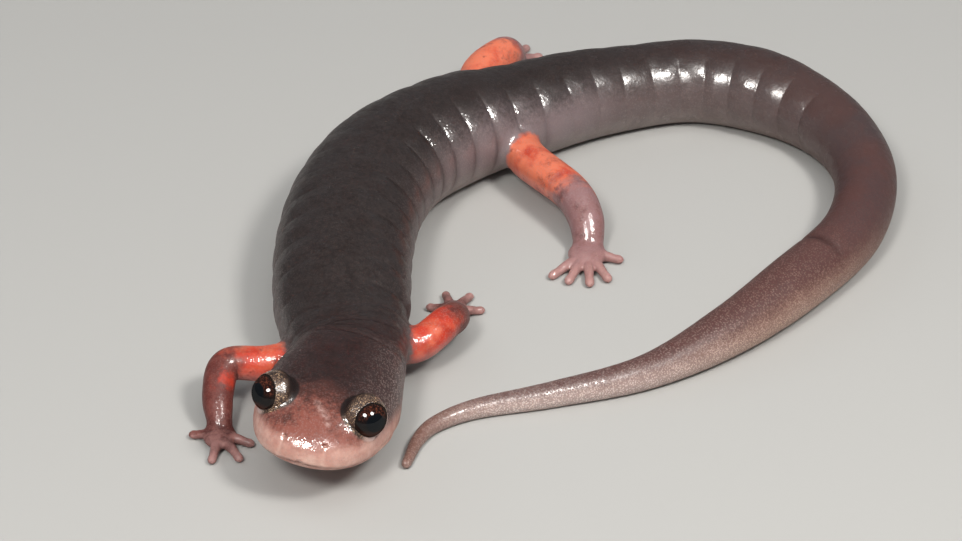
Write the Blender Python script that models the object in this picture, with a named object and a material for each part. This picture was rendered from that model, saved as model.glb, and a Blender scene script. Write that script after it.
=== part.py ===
"""Red-legged woodland salamander at life size, a still museum model in one curled resting pose.

The body is one swept form from the nape to the tail tip, parted into lengths by thin cuts.
The head is a loft in its own frame, turned and tilted on the neck. Each leg is a swept limb whose
root follows the flank that it grows from. Sizes below are in millimetres, on a floor at z = 0.
"""

import math

import bmesh
import bpy
from mathutils import Matrix, Vector

MM = 0.001
GAP = 0.3
WELD = 0.002
SHARP_EDGE = 40
UP = Vector((0, 0, 1))

# Where the model's footprint is centred, in the coordinates of the route and the limbs below
FOOTPRINT_CENTRE = Vector((5.358, 1.712, 0))

# Route of the spine over the floor, from the nape to the tail tip: x and y
ROUTE_POINTS = [
    (-8.25, -15.75),
    (-8.8, -12.5),
    (-9.15, -8.8),
    (-9.2, -3.0),
    (-8.4, 3.0),
    (-6.1, 8.7),
    (-1.9, 13.1),
    (3.3, 16.5),
    (9.0, 19.5),
    (15.4, 21.2),
    (21.3, 19.2),
    (25.4, 15.0),
    (27.0, 9.0),
    (25.5, 2.0),
    (21.5, -4.0),
    (16.4, -9.6),
    (10.8, -13.7),
    (4.6, -15.9),
    (-0.2, -17.2),
    (-2.8, -18.7),
    (-4.0, -20.4),
    (-4.7, -22.8),
]

# Distance back from the nape, half width and half height of the body
BODY_SIZES = [
    (0.0, 3.70, 2.62),
    (3.3, 4.15, 3.05),
    (7.5, 4.60, 3.60),
    (14.5, 4.70, 3.95),
    (21.5, 4.65, 4.00),
    (26.5, 4.50, 3.92),
    (32.0, 4.25, 3.80),
    (35.5, 3.90, 3.50),
    (40.5, 3.40, 3.35),
    (48.0, 3.05, 3.02),
    (55.0, 3.08, 3.05),
    (60.5, 2.68, 2.68),
    (66.5, 2.30, 2.30),
    (73.5, 2.12, 2.12),
    (83.5, 2.08, 2.08),
    (91.0, 1.72, 1.72),
    (98.5, 1.12, 1.12),
    (106.0, 0.80, 0.80),
    (112.5, 0.55, 0.55),
    (118.5, 0.30, 0.30),
]
BELLY_FLAT = 0.915
CHEST_RISE = 1.3
CHEST_RISE_END = 6.0

# Creases that show each rib on the flank, and the fainter ones of the tail base
COSTAL_FIRST, COSTAL_LAST, COSTAL_COUNT = 5.0, 36.9, 14
COSTAL_DEPTH, CREASE_WIDTH = 0.24, 0.36
CAUDAL_FIRST, CAUDAL_LAST, CAUDAL_COUNT = 39.35, 61.4, 10
CAUDAL_DEPTH = 0.13
CREASE_SOFTNESS, CREASE_LOWEST = 0.6, -0.5
CREASE_SHOULDER = 1.1
TRUNK_STEP, TAIL_STEP = 1.2, 1.7

# Where the body is parted, as distances back from the nape
BODY_LENGTHS = [
    ("chest", 1.0, 6.2),
    ("trunk_front", 6.2, 16.0),
    ("trunk_middle", 16.0, 25.9),
    ("trunk_rear", 25.9, 33.2),
    ("pelvis", 33.2, 38.1),
    ("tail_base", 38.1, 50.4),
    ("tail_upper", 50.4, 62.4),
    ("tail_bend", 62.4, 73.0),
    ("tail_middle", 73.0, 84.5),
    ("tail_lower", 84.5, 96.5),
    ("tail_end", 96.5, 108.5),
    ("tail_tip", 108.5, None),
]
TRUNK_SIDES, TAIL_SIDES = 24, 16
TAIL_POINT = [(0.55, 0.80), (0.92, 0.40)]
NECK_STEPS, NECK_WAIST = 4, 0.035

# Head: length from snout to nape, and where the throat fold parts it from the neck
HEAD_LENGTH = 12.4
HEAD_BACK = 10.9
HEAD_PLACE = Vector((-8.15, -15.6, 3.83))
HEAD_YAW, HEAD_PITCH, HEAD_ROLL = -103.5, 3.6, -7.8

# Distance back from the snout, half width, crown, mouth line and throat heights
HEAD_SIZES = [
    (0.0, 0.28, -0.42, -0.72, -1.00),
    (0.22, 1.42, 0.18, -0.74, -1.36),
    (0.80, 2.51, 0.78, -0.78, -1.66),
    (1.70, 3.25, 1.22, -0.82, -1.90),
    (2.90, 3.82, 1.62, -0.84, -2.10),
    (4.20, 4.18, 1.92, -0.86, -2.26),
    (5.80, 4.42, 2.16, -0.98, -2.40),
    (7.60, 4.42, 2.34, -1.05, -2.50),
    (9.40, 4.12, 2.44, -0.90, -2.52),
    (11.0, 3.80, 2.52, -0.60, -2.52),
    (12.4, 3.65, 2.60, -0.30, -2.50),
]
HEAD_EVEN_SIDES = 24
HEAD_STATIONS = (0.0, 0.1, 0.22, 0.48, 0.8, 1.2, 1.7, 2.3, 2.9, 3.5, 4.2, 5.0, 5.8, 6.6, 7.4, 8.4, 9.4, 10.2)
SECTION_FULLNESS = 2.35
SLOPE_REACH = 0.1

# Mouth line: depth, the lips' angles above and below it, where it ends, and how far the chin sits back
MOUTH_DEPTH, MOUTH_CORNER, MOUTH_FADE = 0.30, 7.4, 1.2
LIP_ANGLES = (0.03, 0.11)
CHIN_SETBACK = 0.42
MOUTH_PINCH = 0.3

# Eyes and nostrils, from the snout's tip: back, out to the side and up, and where the lids open to
EYE_BACK, EYE_OUT, EYE_HIGH = 3.6, 3.06, 1.36
EYE_RADIUS, EYE_CLEARANCE = 1.18, 0.22
LID_RADIUS, LID_SUNK, LID_RIM = 1.58, 0.14, 0.40
LID_OPENS = Vector((0.714, 0.643, 0.276))
NOSTRIL_BACK, NOSTRIL_OUT, NOSTRIL_HIGH, NOSTRIL_RADIUS = 0.68, 1.31, 0.54, 0.22
LID_STEPS, EYE_STEPS, NOSTRIL_STEPS = (12, 20), (10, 16), (6, 8)

# Limbs: distance back of the root, and the points and radii that the limb runs through from the flank
LIMB_SIDES = 12
FORE_ROOT, HIND_ROOT = 2.9, 35.0
LIMBS = {
    "fore_right": {
        "root": FORE_ROOT,
        "side": -1,
        "path": [(-13.7, -14.9, 2.55), (-16.3, -15.4, 2.75), (-16.85, -17.3, 1.9), (-16.65, -19.2, 0.85)],
        "palm": (-16.6, -20.0),
        "toes": [(-18.45, -19.6), (-17.0, -22.5), (-15.2, -22.3), (-14.55, -20.6)],
    },
    "fore_left": {
        "root": FORE_ROOT,
        "side": 1,
        "path": [(-4.15, -12.7, 2.55), (-2.25, -10.6, 2.85), (-1.75, -8.7, 2.0), (-1.95, -6.7, 0.85)],
        "palm": (-1.9, -5.9),
        "toes": [(-3.5, -4.9), (-2.4, -3.3), (-0.7, -3.5), (0.1, -5.3)],
    },
    "hind_left": {
        "root": HIND_ROOT,
        "side": 1,
        "path": [(3.4, 10.3, 2.6), (6.2, 5.9, 2.7), (7.2, 3.9, 1.9), (7.4, 2.4, 0.9)],
        "palm": (7.3, 1.3),
        "toes": [(4.75, -1.2), (5.9, -1.9), (7.4, -2.2), (8.7, -1.6), (9.6, 0.9)],
    },
    "hind_right": {
        "root": HIND_ROOT,
        "side": -1,
        "path": [(-0.2, 21.0, 3.2), (1.6, 23.7, 3.5), (2.1, 25.3, 2.2), (2.2, 26.8, 0.9)],
        "palm": (2.0, 27.9),
        "toes": [(4.5, 29.2), (3.5, 30.6), (1.9, 31.2), (0.4, 30.6), (-0.5, 28.7)],
    },
}
FORE_RADII = [1.32, 1.20, 1.12, 1.04, 0.86]
HIND_RADII = [1.64, 1.42, 1.38, 1.32, 1.12]
LIMB_ROOT_DEPTH, LIMB_ROOT_HEIGHT = 0.45, 0.72
ELBOW_SHARE = 0.47
UPPER_STEPS, LOWER_STEPS, WRIST_STEPS = 5, 6, 2
FLANK_REACH, FLANK_STEP = 4.5, 0.5

# Feet: where they start before the limb's end, the palm's half sizes, and the toes' radii
FOOT_START, WRIST_OVERLAP = 0.9, 0.3
PALM_LENGTH, PALM_WIDTH, PALM_THICKNESS = 1.25, 1.08, 0.54
PALM_SUNK, TOE_SUNK = 0.84, 0.86
PALM_STEPS = (8, 14)
HIND_GROWTH = 1.22
TOE_START = 0.18
TOE_PROFILE = [(0.0, 0.42), (0.35, 0.386), (0.72, 0.30), (0.90, 0.33), (0.97, 0.238), (1.0, 0.099)]
TOE_SIDES = 8

SKIN_COLOURS = {
    "back": ((0.045, 0.036, 0.038), 0.28),
    "head": ((0.095, 0.050, 0.048), 0.30),
    "tail": ((0.170, 0.110, 0.105), 0.32),
    "red": ((0.620, 0.075, 0.030), 0.28),
    "foot": ((0.240, 0.120, 0.130), 0.32),
    "eye": ((0.006, 0.005, 0.005), 0.06),
}


def clear_scene():
    for obj in list(bpy.data.objects):
        bpy.data.objects.remove(obj)


def material(name):
    colour, roughness = SKIN_COLOURS[name]
    made = bpy.data.materials.get(name) or bpy.data.materials.new(name)
    made.use_nodes = True
    shader = made.node_tree.nodes["Principled BSDF"]
    shader.inputs["Base Color"].default_value = (*colour, 1)
    shader.inputs["Roughness"].default_value = roughness
    shader.inputs["Metallic"].default_value = 0.0
    return made


def eased(stations, distance):
    """The sizes at a distance, on a smooth curve through the stations that never overshoots them."""
    if distance <= stations[0][0]:
        return list(stations[0][1:])
    if distance >= stations[-1][0]:
        return list(stations[-1][1:])
    i = max(k for k, row in enumerate(stations) if row[0] <= distance)
    i = min(i, len(stations) - 2)
    span = stations[i + 1][0] - stations[i][0]
    t = (distance - stations[i][0]) / span

    def slope(k, column):
        if k == 0 or k == len(stations) - 1:
            return 0.0
        before = (stations[k][column] - stations[k - 1][column]) / (stations[k][0] - stations[k - 1][0])
        after = (stations[k + 1][column] - stations[k][column]) / (stations[k + 1][0] - stations[k][0])
        if before * after <= 0:
            return 0.0
        return 2 * before * after / (before + after)

    sizes = []
    for column in range(1, len(stations[0])):
        start, end = stations[i][column], stations[i + 1][column]
        rise_start, rise_end = slope(i, column) * span, slope(i + 1, column) * span
        sizes.append(
            start * (2 * t**3 - 3 * t**2 + 1)
            + rise_start * (t**3 - 2 * t**2 + t)
            + end * (-2 * t**3 + 3 * t**2)
            + rise_end * (t**3 - t**2)
        )
    return sizes


class Route:
    """A smooth line through points, read by the distance along it."""

    STEPS = 24

    def __init__(self, points):
        points = [Vector(p).to_3d() for p in points]
        ends = [2 * points[0] - points[1]] + points + [2 * points[-1] - points[-2]]
        self.line = [points[0]]
        for a, b, c, d in zip(ends, ends[1:], ends[2:], ends[3:]):
            for step in range(1, self.STEPS + 1):
                t = step / self.STEPS
                turned = (2 * a - 5 * b + 4 * c - d) * t**2 + (3 * b - a - 3 * c + d) * t**3
                self.line.append(0.5 * (2 * b + (c - a) * t + turned))
        self.marks = [0.0]
        for a, b in zip(self.line, self.line[1:]):
            self.marks.append(self.marks[-1] + (b - a).length)
        self.length = self.marks[-1]

    def at(self, distance):
        distance = min(max(distance, 0.0), self.length)
        low, high = 0, len(self.marks) - 1
        while high - low > 1:
            middle = (low + high) // 2
            if self.marks[middle] <= distance:
                low = middle
            else:
                high = middle
        share = (distance - self.marks[low]) / (self.marks[high] - self.marks[low])
        return self.line[low].lerp(self.line[high], share)

    def heading(self, distance, reach=0.25):
        return (self.at(distance + reach) - self.at(distance - reach)).normalized()


SPINE = Route(ROUTE_POINTS)


def crease(distance, first, last, count, depth):
    """How far the nearest crease sinks the surface at this distance."""
    spacing = (last - first) / (count - 1)
    nearest = first + spacing * min(max(round((distance - first) / spacing), 0), count - 1)
    return depth * math.exp(-(((distance - nearest) / CREASE_WIDTH) ** 2))


def body_ring(distance, sides, grow=0.0):
    """One upright cross-section of the body: flat where the belly rests, creased on the flanks."""
    half_width, half_height = eased(BODY_SIZES, distance)
    back = SPINE.heading(distance)
    left = Vector((back.y, -back.x, 0))
    rise = CHEST_RISE * max(0.0, 1 - distance / CHEST_RISE_END) ** 2
    centre = SPINE.at(distance) + UP * (BELLY_FLAT * half_height + rise)
    sunk = crease(distance, COSTAL_FIRST, COSTAL_LAST, COSTAL_COUNT, COSTAL_DEPTH)
    sunk += crease(distance, CAUDAL_FIRST, CAUDAL_LAST, CAUDAL_COUNT, CAUDAL_DEPTH)
    ring = []
    for k in range(sides):
        angle = 2 * math.pi * k / sides
        across, high = math.cos(angle), math.sin(angle)
        flank = abs(across) ** CREASE_SOFTNESS if high > CREASE_LOWEST else 0.0
        reach = grow - sunk * flank
        point = centre + left * (across * (half_width + reach)) + UP * (high * (half_height + reach))
        point.z = max(point.z, -grow * 3)
        ring.append(point)
    return ring


def body_stations(start, end, first, last, count, far):
    """Distances at which a length of the body takes a ring: at each crease, beside it and between."""
    spacing = (last - first) / (count - 1)
    shoulder = CREASE_SHOULDER * CREASE_WIDTH
    found = [start, end]
    for k in range(count):
        middle = first + spacing * k
        found += [middle - shoulder, middle, middle + shoulder, middle + spacing / 2]
    for k in range(int(SPINE.length / far) + 1):
        if not first - far / 2 < k * far < last + spacing:
            found.append(k * far)
    inside = sorted(d for d in found if start <= d <= end)
    kept = [inside[0]]
    for d in inside[1:]:
        if d - kept[-1] > CREASE_WIDTH / 2:
            kept.append(d)
    kept[-1] = end
    return kept


def mesh_object(name, points, faces, finish=None):
    mesh = bpy.data.meshes.new(name)
    mesh.from_pydata([(p - FOOTPRINT_CENTRE) * MM for p in points], [], faces)
    made = bpy.data.objects.new(name, mesh)
    bpy.context.scene.collection.objects.link(made)
    work = bmesh.new()
    work.from_mesh(mesh)
    bmesh.ops.recalc_face_normals(work, faces=work.faces)
    work.to_mesh(mesh)
    work.free()
    if finish:
        mesh.materials.append(material(finish))
    return made


def loft(name, rings, finish=None):
    """A closed skin through rings with as many points each, with an end face of strips across."""
    sides = len(rings[0])
    points = [p for ring in rings for p in ring]
    faces = []
    for r in range(len(rings) - 1):
        for k in range(sides):
            n = (k + 1) % sides
            faces.append((r * sides + k, r * sides + n, (r + 1) * sides + n, (r + 1) * sides + k))
    for base in (0, (len(rings) - 1) * sides):
        for k in range(-(sides // 4), sides // 4):
            strip = [k, k + 1, sides // 2 - k - 1, sides // 2 - k]
            corners = dict.fromkeys(base + c % sides for c in strip)
            faces.append(tuple(corners))
    return mesh_object(name, points, faces, finish)


def boolean(target, other, operation):
    """Joins another solid to the target or cuts it away, at once, and removes that other solid."""
    modifier = target.modifiers.new(operation.lower(), "BOOLEAN")
    modifier.operation = operation
    modifier.solver = "EXACT"
    modifier.object = other
    apply_modifiers(target)
    bpy.data.objects.remove(other)


def apply_modifiers(obj):
    bpy.context.view_layer.update()
    graph = bpy.context.evaluated_depsgraph_get()
    mesh = bpy.data.meshes.new_from_object(obj.evaluated_get(graph))
    obj.modifiers.clear()
    obj.data = mesh


def sphere(name, centre, radius, steps, scale=(1, 1, 1), turn=None):
    """A ball, or an egg by its scale, closed and in place, of so many rings and sides."""
    work = bmesh.new()
    bmesh.ops.create_uvsphere(work, u_segments=steps[1], v_segments=steps[0], radius=1.0)
    turn = turn or Matrix.Identity(3)
    points = []
    for v in work.verts:
        stretched = Vector((v.co.x * scale[0], v.co.y * scale[1], v.co.z * scale[2]))
        points.append(centre + turn @ stretched * radius)
    faces = [tuple(v.index for v in f.verts) for f in work.faces]
    work.free()
    return mesh_object(name, points, faces)


def cut_by_plane(obj, place, normal):
    """Removes what lies beyond a plane, on the side that its normal points to, and closes the cut."""
    work = bmesh.new()
    work.from_mesh(obj.data)
    cut = bmesh.ops.bisect_plane(
        work,
        geom=work.verts[:] + work.edges[:] + work.faces[:],
        plane_co=(place - FOOTPRINT_CENTRE) * MM,
        plane_no=normal,
        dist=1e-8,
        clear_outer=True,
    )
    edges = [e for e in cut["geom_cut"] if isinstance(e, bmesh.types.BMEdge)]
    bmesh.ops.contextual_create(work, geom=edges)
    bmesh.ops.recalc_face_normals(work, faces=work.faces)
    work.to_mesh(obj.data)
    work.free()


# Body: chest, trunk, pelvis and tail
def build_body():
    for name, start, end in BODY_LENGTHS:
        start = start + GAP / 2
        finish = "tail" if name.startswith("tail") else "back"
        last = end is None
        end = SPINE.length if last else end - GAP / 2
        if name.startswith("tail"):
            sides = TAIL_SIDES
            stations = body_stations(start, end, CAUDAL_FIRST, CAUDAL_LAST, CAUDAL_COUNT, TAIL_STEP)
        else:
            sides = TRUNK_SIDES
            stations = body_stations(start, end, COSTAL_FIRST, COSTAL_LAST, COSTAL_COUNT, TRUNK_STEP)
        rings = [body_ring(d, sides) for d in stations]
        if last:
            rings += tail_point(sides)
        loft(name, rings, finish)


def tail_point(sides):
    """Two shrinking rings that round off the end of the tail."""
    tip = SPINE.at(SPINE.length)
    ahead = SPINE.heading(SPINE.length)
    last = body_ring(SPINE.length, sides)
    middle = sum(last, Vector()) / sides
    radius = eased(BODY_SIZES, SPINE.length)[0]
    rings = []
    for reach, share in TAIL_POINT:
        centre = middle + ahead * (radius * reach)
        rings.append([centre + (p - middle) * share for p in last])
        for p in rings[-1]:
            p.z = max(p.z, 0.0)
    return rings


# Head: upper and lower jaw as one loft with a sunk mouth line, lid mounds, eye sockets and nostrils
def head_matrix():
    turn = Matrix.Rotation(math.radians(HEAD_YAW), 4, "Z")
    turn @= Matrix.Rotation(-math.radians(HEAD_PITCH), 4, "Y")
    turn @= Matrix.Rotation(math.radians(HEAD_ROLL), 4, "X")
    return Matrix.Translation(HEAD_PLACE) @ turn


HEAD = head_matrix()


def head_point(back, angle):
    """A point of the head's surface, in the head's frame: x to the snout, y to its left, z up."""
    across, high = math.cos(angle), math.sin(angle)
    half_width, crown, mouth, throat = eased(HEAD_SIZES, back)
    out = math.copysign(abs(across) ** (2 / SECTION_FULLNESS), across)
    tall = abs(high) ** (2 / SECTION_FULLNESS)
    z = mouth + (crown - mouth) * tall if high >= 0 else mouth - (mouth - throat) * tall
    setback = CHIN_SETBACK * max(0.0, 1 - back / MOUTH_CORNER) if high < -1e-6 else 0.0
    return Vector((HEAD_LENGTH - back - setback, half_width * out, z))


def head_angles():
    """Even steps round the section, with points close above and below the mouth line for the lips."""
    angles = [2 * math.pi * k / HEAD_EVEN_SIDES for k in range(HEAD_EVEN_SIDES)]
    for lip in LIP_ANGLES:
        angles += [lip, math.pi - lip, math.pi + lip, 2 * math.pi - lip]
    return sorted(angles)


def head_ring(back):
    """The head's section at a distance from the snout, with the mouth line sunk between the lips."""
    fade = min(1.0, max(0.0, (MOUTH_CORNER - back) / MOUTH_FADE))
    wider = eased(HEAD_SIZES, back + SLOPE_REACH)[0]
    narrower = eased(HEAD_SIZES, back - SLOPE_REACH)[0]
    outward = Vector(((wider - narrower) / (2 * SLOPE_REACH), 1.0)).normalized()
    ring = []
    for angle in head_angles():
        point = head_point(back, angle)
        if abs(math.sin(angle)) < 1e-6:
            point.x -= MOUTH_DEPTH * fade * outward.x
            inward = min(MOUTH_DEPTH * fade * outward.y, abs(point.y) * MOUTH_PINCH)
            point.y -= math.copysign(inward, point.y)
        ring.append(HEAD @ point)
    return ring


def build_head():
    head = loft("head", [head_ring(d) for d in (*HEAD_STATIONS, HEAD_BACK)], "head")
    for side, word in ((1, "left"), (-1, "right")):
        eye = HEAD @ Vector((HEAD_LENGTH - EYE_BACK, EYE_OUT * side, EYE_HIGH))
        opens = (HEAD.to_3x3() @ Vector((LID_OPENS.x, LID_OPENS.y * side, LID_OPENS.z))).normalized()
        lids = sphere("lids_" + word, eye - opens * LID_SUNK, LID_RADIUS, LID_STEPS)
        cut_by_plane(lids, eye + opens * LID_RIM, opens)
        boolean(head, lids, "UNION")
        socket = sphere("socket_" + word, eye, EYE_RADIUS + EYE_CLEARANCE, LID_STEPS)
        boolean(head, socket, "DIFFERENCE")
        nostril = HEAD @ Vector((HEAD_LENGTH - NOSTRIL_BACK, NOSTRIL_OUT * side, NOSTRIL_HIGH))
        boolean(head, sphere("nostril_" + word, nostril, NOSTRIL_RADIUS, NOSTRIL_STEPS), "DIFFERENCE")
        ball = sphere("eye_" + word, eye, EYE_RADIUS, EYE_STEPS)
        ball.data.materials.append(material("eye"))
    keep_largest(head)


def build_neck():
    """The short neck between the throat fold and the shoulders, drawn in a little behind the head."""
    ahead = [HEAD @ head_point(HEAD_BACK + GAP, 2 * math.pi * k / TRUNK_SIDES) for k in range(TRUNK_SIDES)]
    behind = body_ring(BODY_LENGTHS[0][1] - GAP / 2, TRUNK_SIDES)
    front_middle, back_middle = (sum(r, Vector()) / TRUNK_SIDES for r in (ahead, behind))
    rings = []
    for step in range(NECK_STEPS + 1):
        t = step / NECK_STEPS
        middle = front_middle.lerp(back_middle, t)
        waist = 1 - NECK_WAIST * math.sin(math.pi * t)
        rings.append([middle + (a.lerp(b, t) - middle) * waist for a, b in zip(ahead, behind)])
    loft("neck", rings, "back")


# Limbs: upper and lower lengths from one sweep, and a foot with its toes
def round_ring(centre, ahead, radius, sides, phase=UP):
    across = ahead.cross(phase).normalized()
    high = across.cross(ahead).normalized()
    ring = []
    for k in range(sides):
        angle = 2 * math.pi * k / sides
        ring.append(centre + (across * math.cos(angle) + high * math.sin(angle)) * radius)
    return ring


def limb_sweep(name, route, radii, start, end, steps, finish):
    marks = [(route.length * k / (len(radii) - 1), r) for k, r in enumerate(radii)]
    rings = []
    for step in range(steps + 1):
        distance = start + (end - start) * step / steps
        radius = eased(marks, distance)[0]
        rings.append(round_ring(route.at(distance), route.heading(distance), radius, LIMB_SIDES))
    return loft(name, rings, finish)


def toe(name, root, tip, growth):
    """One toe: thick at the palm, slimmer in the middle, and rounded at its slightly swollen tip."""
    ahead = (tip - root).normalized()
    length = (tip - root).length
    rings = []
    for share, radius in TOE_PROFILE:
        centre = root + ahead * (length * share)
        radius *= growth
        centre.z = radius * TOE_SUNK
        rings.append(round_ring(centre, ahead, radius, TOE_SIDES))
    return loft(name, rings)


def build_foot(name, route, limb, radii, growth):
    wrist = route.length - FOOT_START
    cut = wrist + GAP
    heel, ahead = route.at(cut), route.heading(cut)
    palm = Vector((*limb["palm"], PALM_THICKNESS * PALM_SUNK * growth))
    foot = limb_sweep(name, route, radii, cut - WRIST_OVERLAP, route.length, WRIST_STEPS, "foot")
    along = Vector((palm.x - heel.x, palm.y - heel.y, 0)).normalized()
    turn = Matrix((along, UP.cross(along), UP)).transposed()
    scale = (PALM_LENGTH * growth, PALM_WIDTH * growth, PALM_THICKNESS * growth)
    boolean(foot, sphere("palm", palm, 1.0, PALM_STEPS, scale, turn), "UNION")
    for k, tip in enumerate(limb["toes"]):
        root = palm + (Vector((*tip, palm.z)) - palm) * TOE_START
        boolean(foot, toe("toe", root, Vector((*tip, palm.z)), 0.5 + growth / 2), "UNION")
    cut_by_plane(foot, heel, -ahead)
    cut_by_plane(foot, Vector((0, 0, 0)), -UP)
    keep_largest(foot)
    foot.name = name
    foot.data.materials.clear()
    foot.data.materials.append(material("foot"))


def build_limbs():
    for name, limb in LIMBS.items():
        hind = name.startswith("hind")
        radii = HIND_RADII if hind else FORE_RADII
        growth = HIND_GROWTH if hind else 1.0
        half_width, half_height = eased(BODY_SIZES, limb["root"])
        back = SPINE.heading(limb["root"])
        out = Vector((back.y, -back.x, 0)) * limb["side"]
        root = SPINE.at(limb["root"]) + out * (half_width * LIMB_ROOT_DEPTH)
        root += UP * (half_height * LIMB_ROOT_HEIGHT)
        route = Route([root] + limb["path"])
        elbow = route.length * ELBOW_SHARE
        wrist = route.length - FOOT_START
        upper = limb_sweep(name + "_upper", route, radii, 0.0, elbow - GAP / 2, UPPER_STEPS, "red")
        flank = loft("flank", [body_ring(d, TRUNK_SIDES, GAP) for d in flank_stations(limb["root"])])
        boolean(upper, flank, "DIFFERENCE")
        keep_largest(upper)
        limb_sweep(name + "_lower", route, radii, elbow + GAP / 2, wrist, LOWER_STEPS, "foot")
        build_foot(name + "_foot", route, limb, radii, growth)


def flank_stations(root):
    """Ring places on the stretch of flank that a limb grows from."""
    steps = round(FLANK_REACH / FLANK_STEP)
    return [d for d in (root + FLANK_STEP * k for k in range(-steps, steps + 1)) if d >= 0]


def keep_largest(obj):
    """Keeps the largest closed surface of a solid and drops the loose scraps that a cut may leave."""
    work = bmesh.new()
    work.from_mesh(obj.data)
    bmesh.ops.remove_doubles(work, verts=work.verts, dist=WELD * MM)
    bmesh.ops.dissolve_degenerate(work, edges=work.edges, dist=WELD * MM)
    unseen = set(work.faces)
    shells = []
    while unseen:
        shell, front = set(), [unseen.pop()]
        while front:
            face = front.pop()
            shell.add(face)
            for edge in face.edges:
                for other in edge.link_faces:
                    if other in unseen:
                        unseen.remove(other)
                        front.append(other)
        shells.append(shell)
    shells.sort(key=lambda shell: sum(f.calc_area() for f in shell))
    loose = [f for shell in shells[:-1] for f in shell]
    bmesh.ops.delete(work, geom=loose, context="FACES")
    bmesh.ops.triangulate(work, faces=work.faces)
    work.to_mesh(obj.data)
    work.free()


def shade():
    for obj in bpy.data.objects:
        obj.data.shade_smooth()
        obj.data.set_sharp_from_angle(angle=math.radians(SHARP_EDGE))


clear_scene()
build_body()
build_head()
build_neck()
build_limbs()
shade()
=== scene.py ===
import math

import bmesh
import bpy
import numpy as np
from mathutils import Matrix, Vector
from mathutils.bvhtree import BVHTree


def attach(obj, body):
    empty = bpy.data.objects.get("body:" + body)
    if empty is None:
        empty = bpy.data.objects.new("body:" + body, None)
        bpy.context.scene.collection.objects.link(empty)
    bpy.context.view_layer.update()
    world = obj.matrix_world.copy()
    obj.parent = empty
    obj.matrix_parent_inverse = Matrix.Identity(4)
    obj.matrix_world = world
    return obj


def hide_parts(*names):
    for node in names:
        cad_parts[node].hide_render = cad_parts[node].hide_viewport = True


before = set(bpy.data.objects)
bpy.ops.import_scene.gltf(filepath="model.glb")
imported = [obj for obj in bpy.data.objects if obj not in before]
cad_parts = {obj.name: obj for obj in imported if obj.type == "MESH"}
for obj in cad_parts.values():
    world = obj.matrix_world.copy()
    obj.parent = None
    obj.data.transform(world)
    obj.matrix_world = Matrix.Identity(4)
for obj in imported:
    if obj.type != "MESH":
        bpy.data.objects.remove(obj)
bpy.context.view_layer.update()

# The trunk and tail: one soft tube from the nape to the tail tip, flat where it rests on the floor.
# It follows the same route and sizes as the solids, which are in millimetres on the floor's plane.
MM = 0.001
FOOTPRINT_CENTRE = np.array([5.358, 1.712, 0.0])
ROUTE_POINTS = [
    (-8.25, -15.75), (-8.8, -12.5), (-9.15, -8.8), (-9.2, -3.0), (-8.4, 3.0), (-6.1, 8.7),
    (-1.9, 13.1), (3.3, 16.5), (9.0, 19.5), (15.4, 21.2), (21.3, 19.2), (25.4, 15.0),
    (27.0, 9.0), (25.5, 2.0), (21.5, -4.0), (16.4, -9.6), (10.8, -13.7), (4.6, -15.9),
    (-0.2, -17.2), (-2.8, -18.7), (-4.0, -20.4), (-4.7, -22.8),
]
BODY_SIZES = [
    (0.0, 3.70, 2.62), (3.3, 4.15, 3.05), (7.5, 4.60, 3.60), (14.5, 4.70, 3.95), (21.5, 4.65, 4.00),
    (26.5, 4.50, 3.92), (32.0, 4.25, 3.80), (35.5, 3.90, 3.50), (40.5, 3.40, 3.35), (48.0, 3.05, 3.02),
    (55.0, 3.08, 3.05), (60.5, 2.68, 2.68), (66.5, 2.30, 2.30), (73.5, 2.12, 2.12), (83.5, 2.08, 2.08),
    (91.0, 1.72, 1.72), (98.5, 1.12, 1.12), (106.0, 0.80, 0.80), (112.5, 0.55, 0.55), (118.5, 0.30, 0.30),
]
BELLY_FLAT = 0.915
CHEST_RISE, CHEST_RISE_END = 1.3, 6.0
BODY_START = 1.0
RING_SPACING = 0.3
SIDES = 96


def smooth_line(points, steps=24):
    """Points along one smooth curve through the given ones."""
    p = np.array(points, float)
    p = np.vstack([2 * p[0] - p[1], p, 2 * p[-1] - p[-2]])
    t = np.arange(1, steps + 1)[:, None] / steps
    runs = [p[1:2]]
    for a, b, c, d in zip(p, p[1:], p[2:], p[3:]):
        turned = (2 * a - 5 * b + 4 * c - d) * t**2 + (3 * b - a - 3 * c + d) * t**3
        runs.append(0.5 * (2 * b + (c - a) * t + turned))
    return np.vstack(runs)


def marks_along(line):
    gaps = np.linalg.norm(np.diff(line, axis=0), axis=1)
    return np.concatenate([[0.0], np.cumsum(gaps)])


def point_at(line, marks, distance):
    return np.stack([np.interp(distance, marks, line[:, k]) for k in range(line.shape[1])], -1)


def heading_at(line, marks, distance, reach=0.25):
    ahead = point_at(line, marks, distance + reach) - point_at(line, marks, distance - reach)
    return ahead / np.linalg.norm(ahead, axis=-1, keepdims=True)


def cubic(start, end, leaving, arriving, t):
    """The smooth curve between two values that leaves the first and meets the second at these rates."""
    near = start * (2 * t**3 - 3 * t**2 + 1) + leaving * (t**3 - 2 * t**2 + t)
    return near + end * (-2 * t**3 + 3 * t**2) + arriving * (t**3 - t**2)


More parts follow.
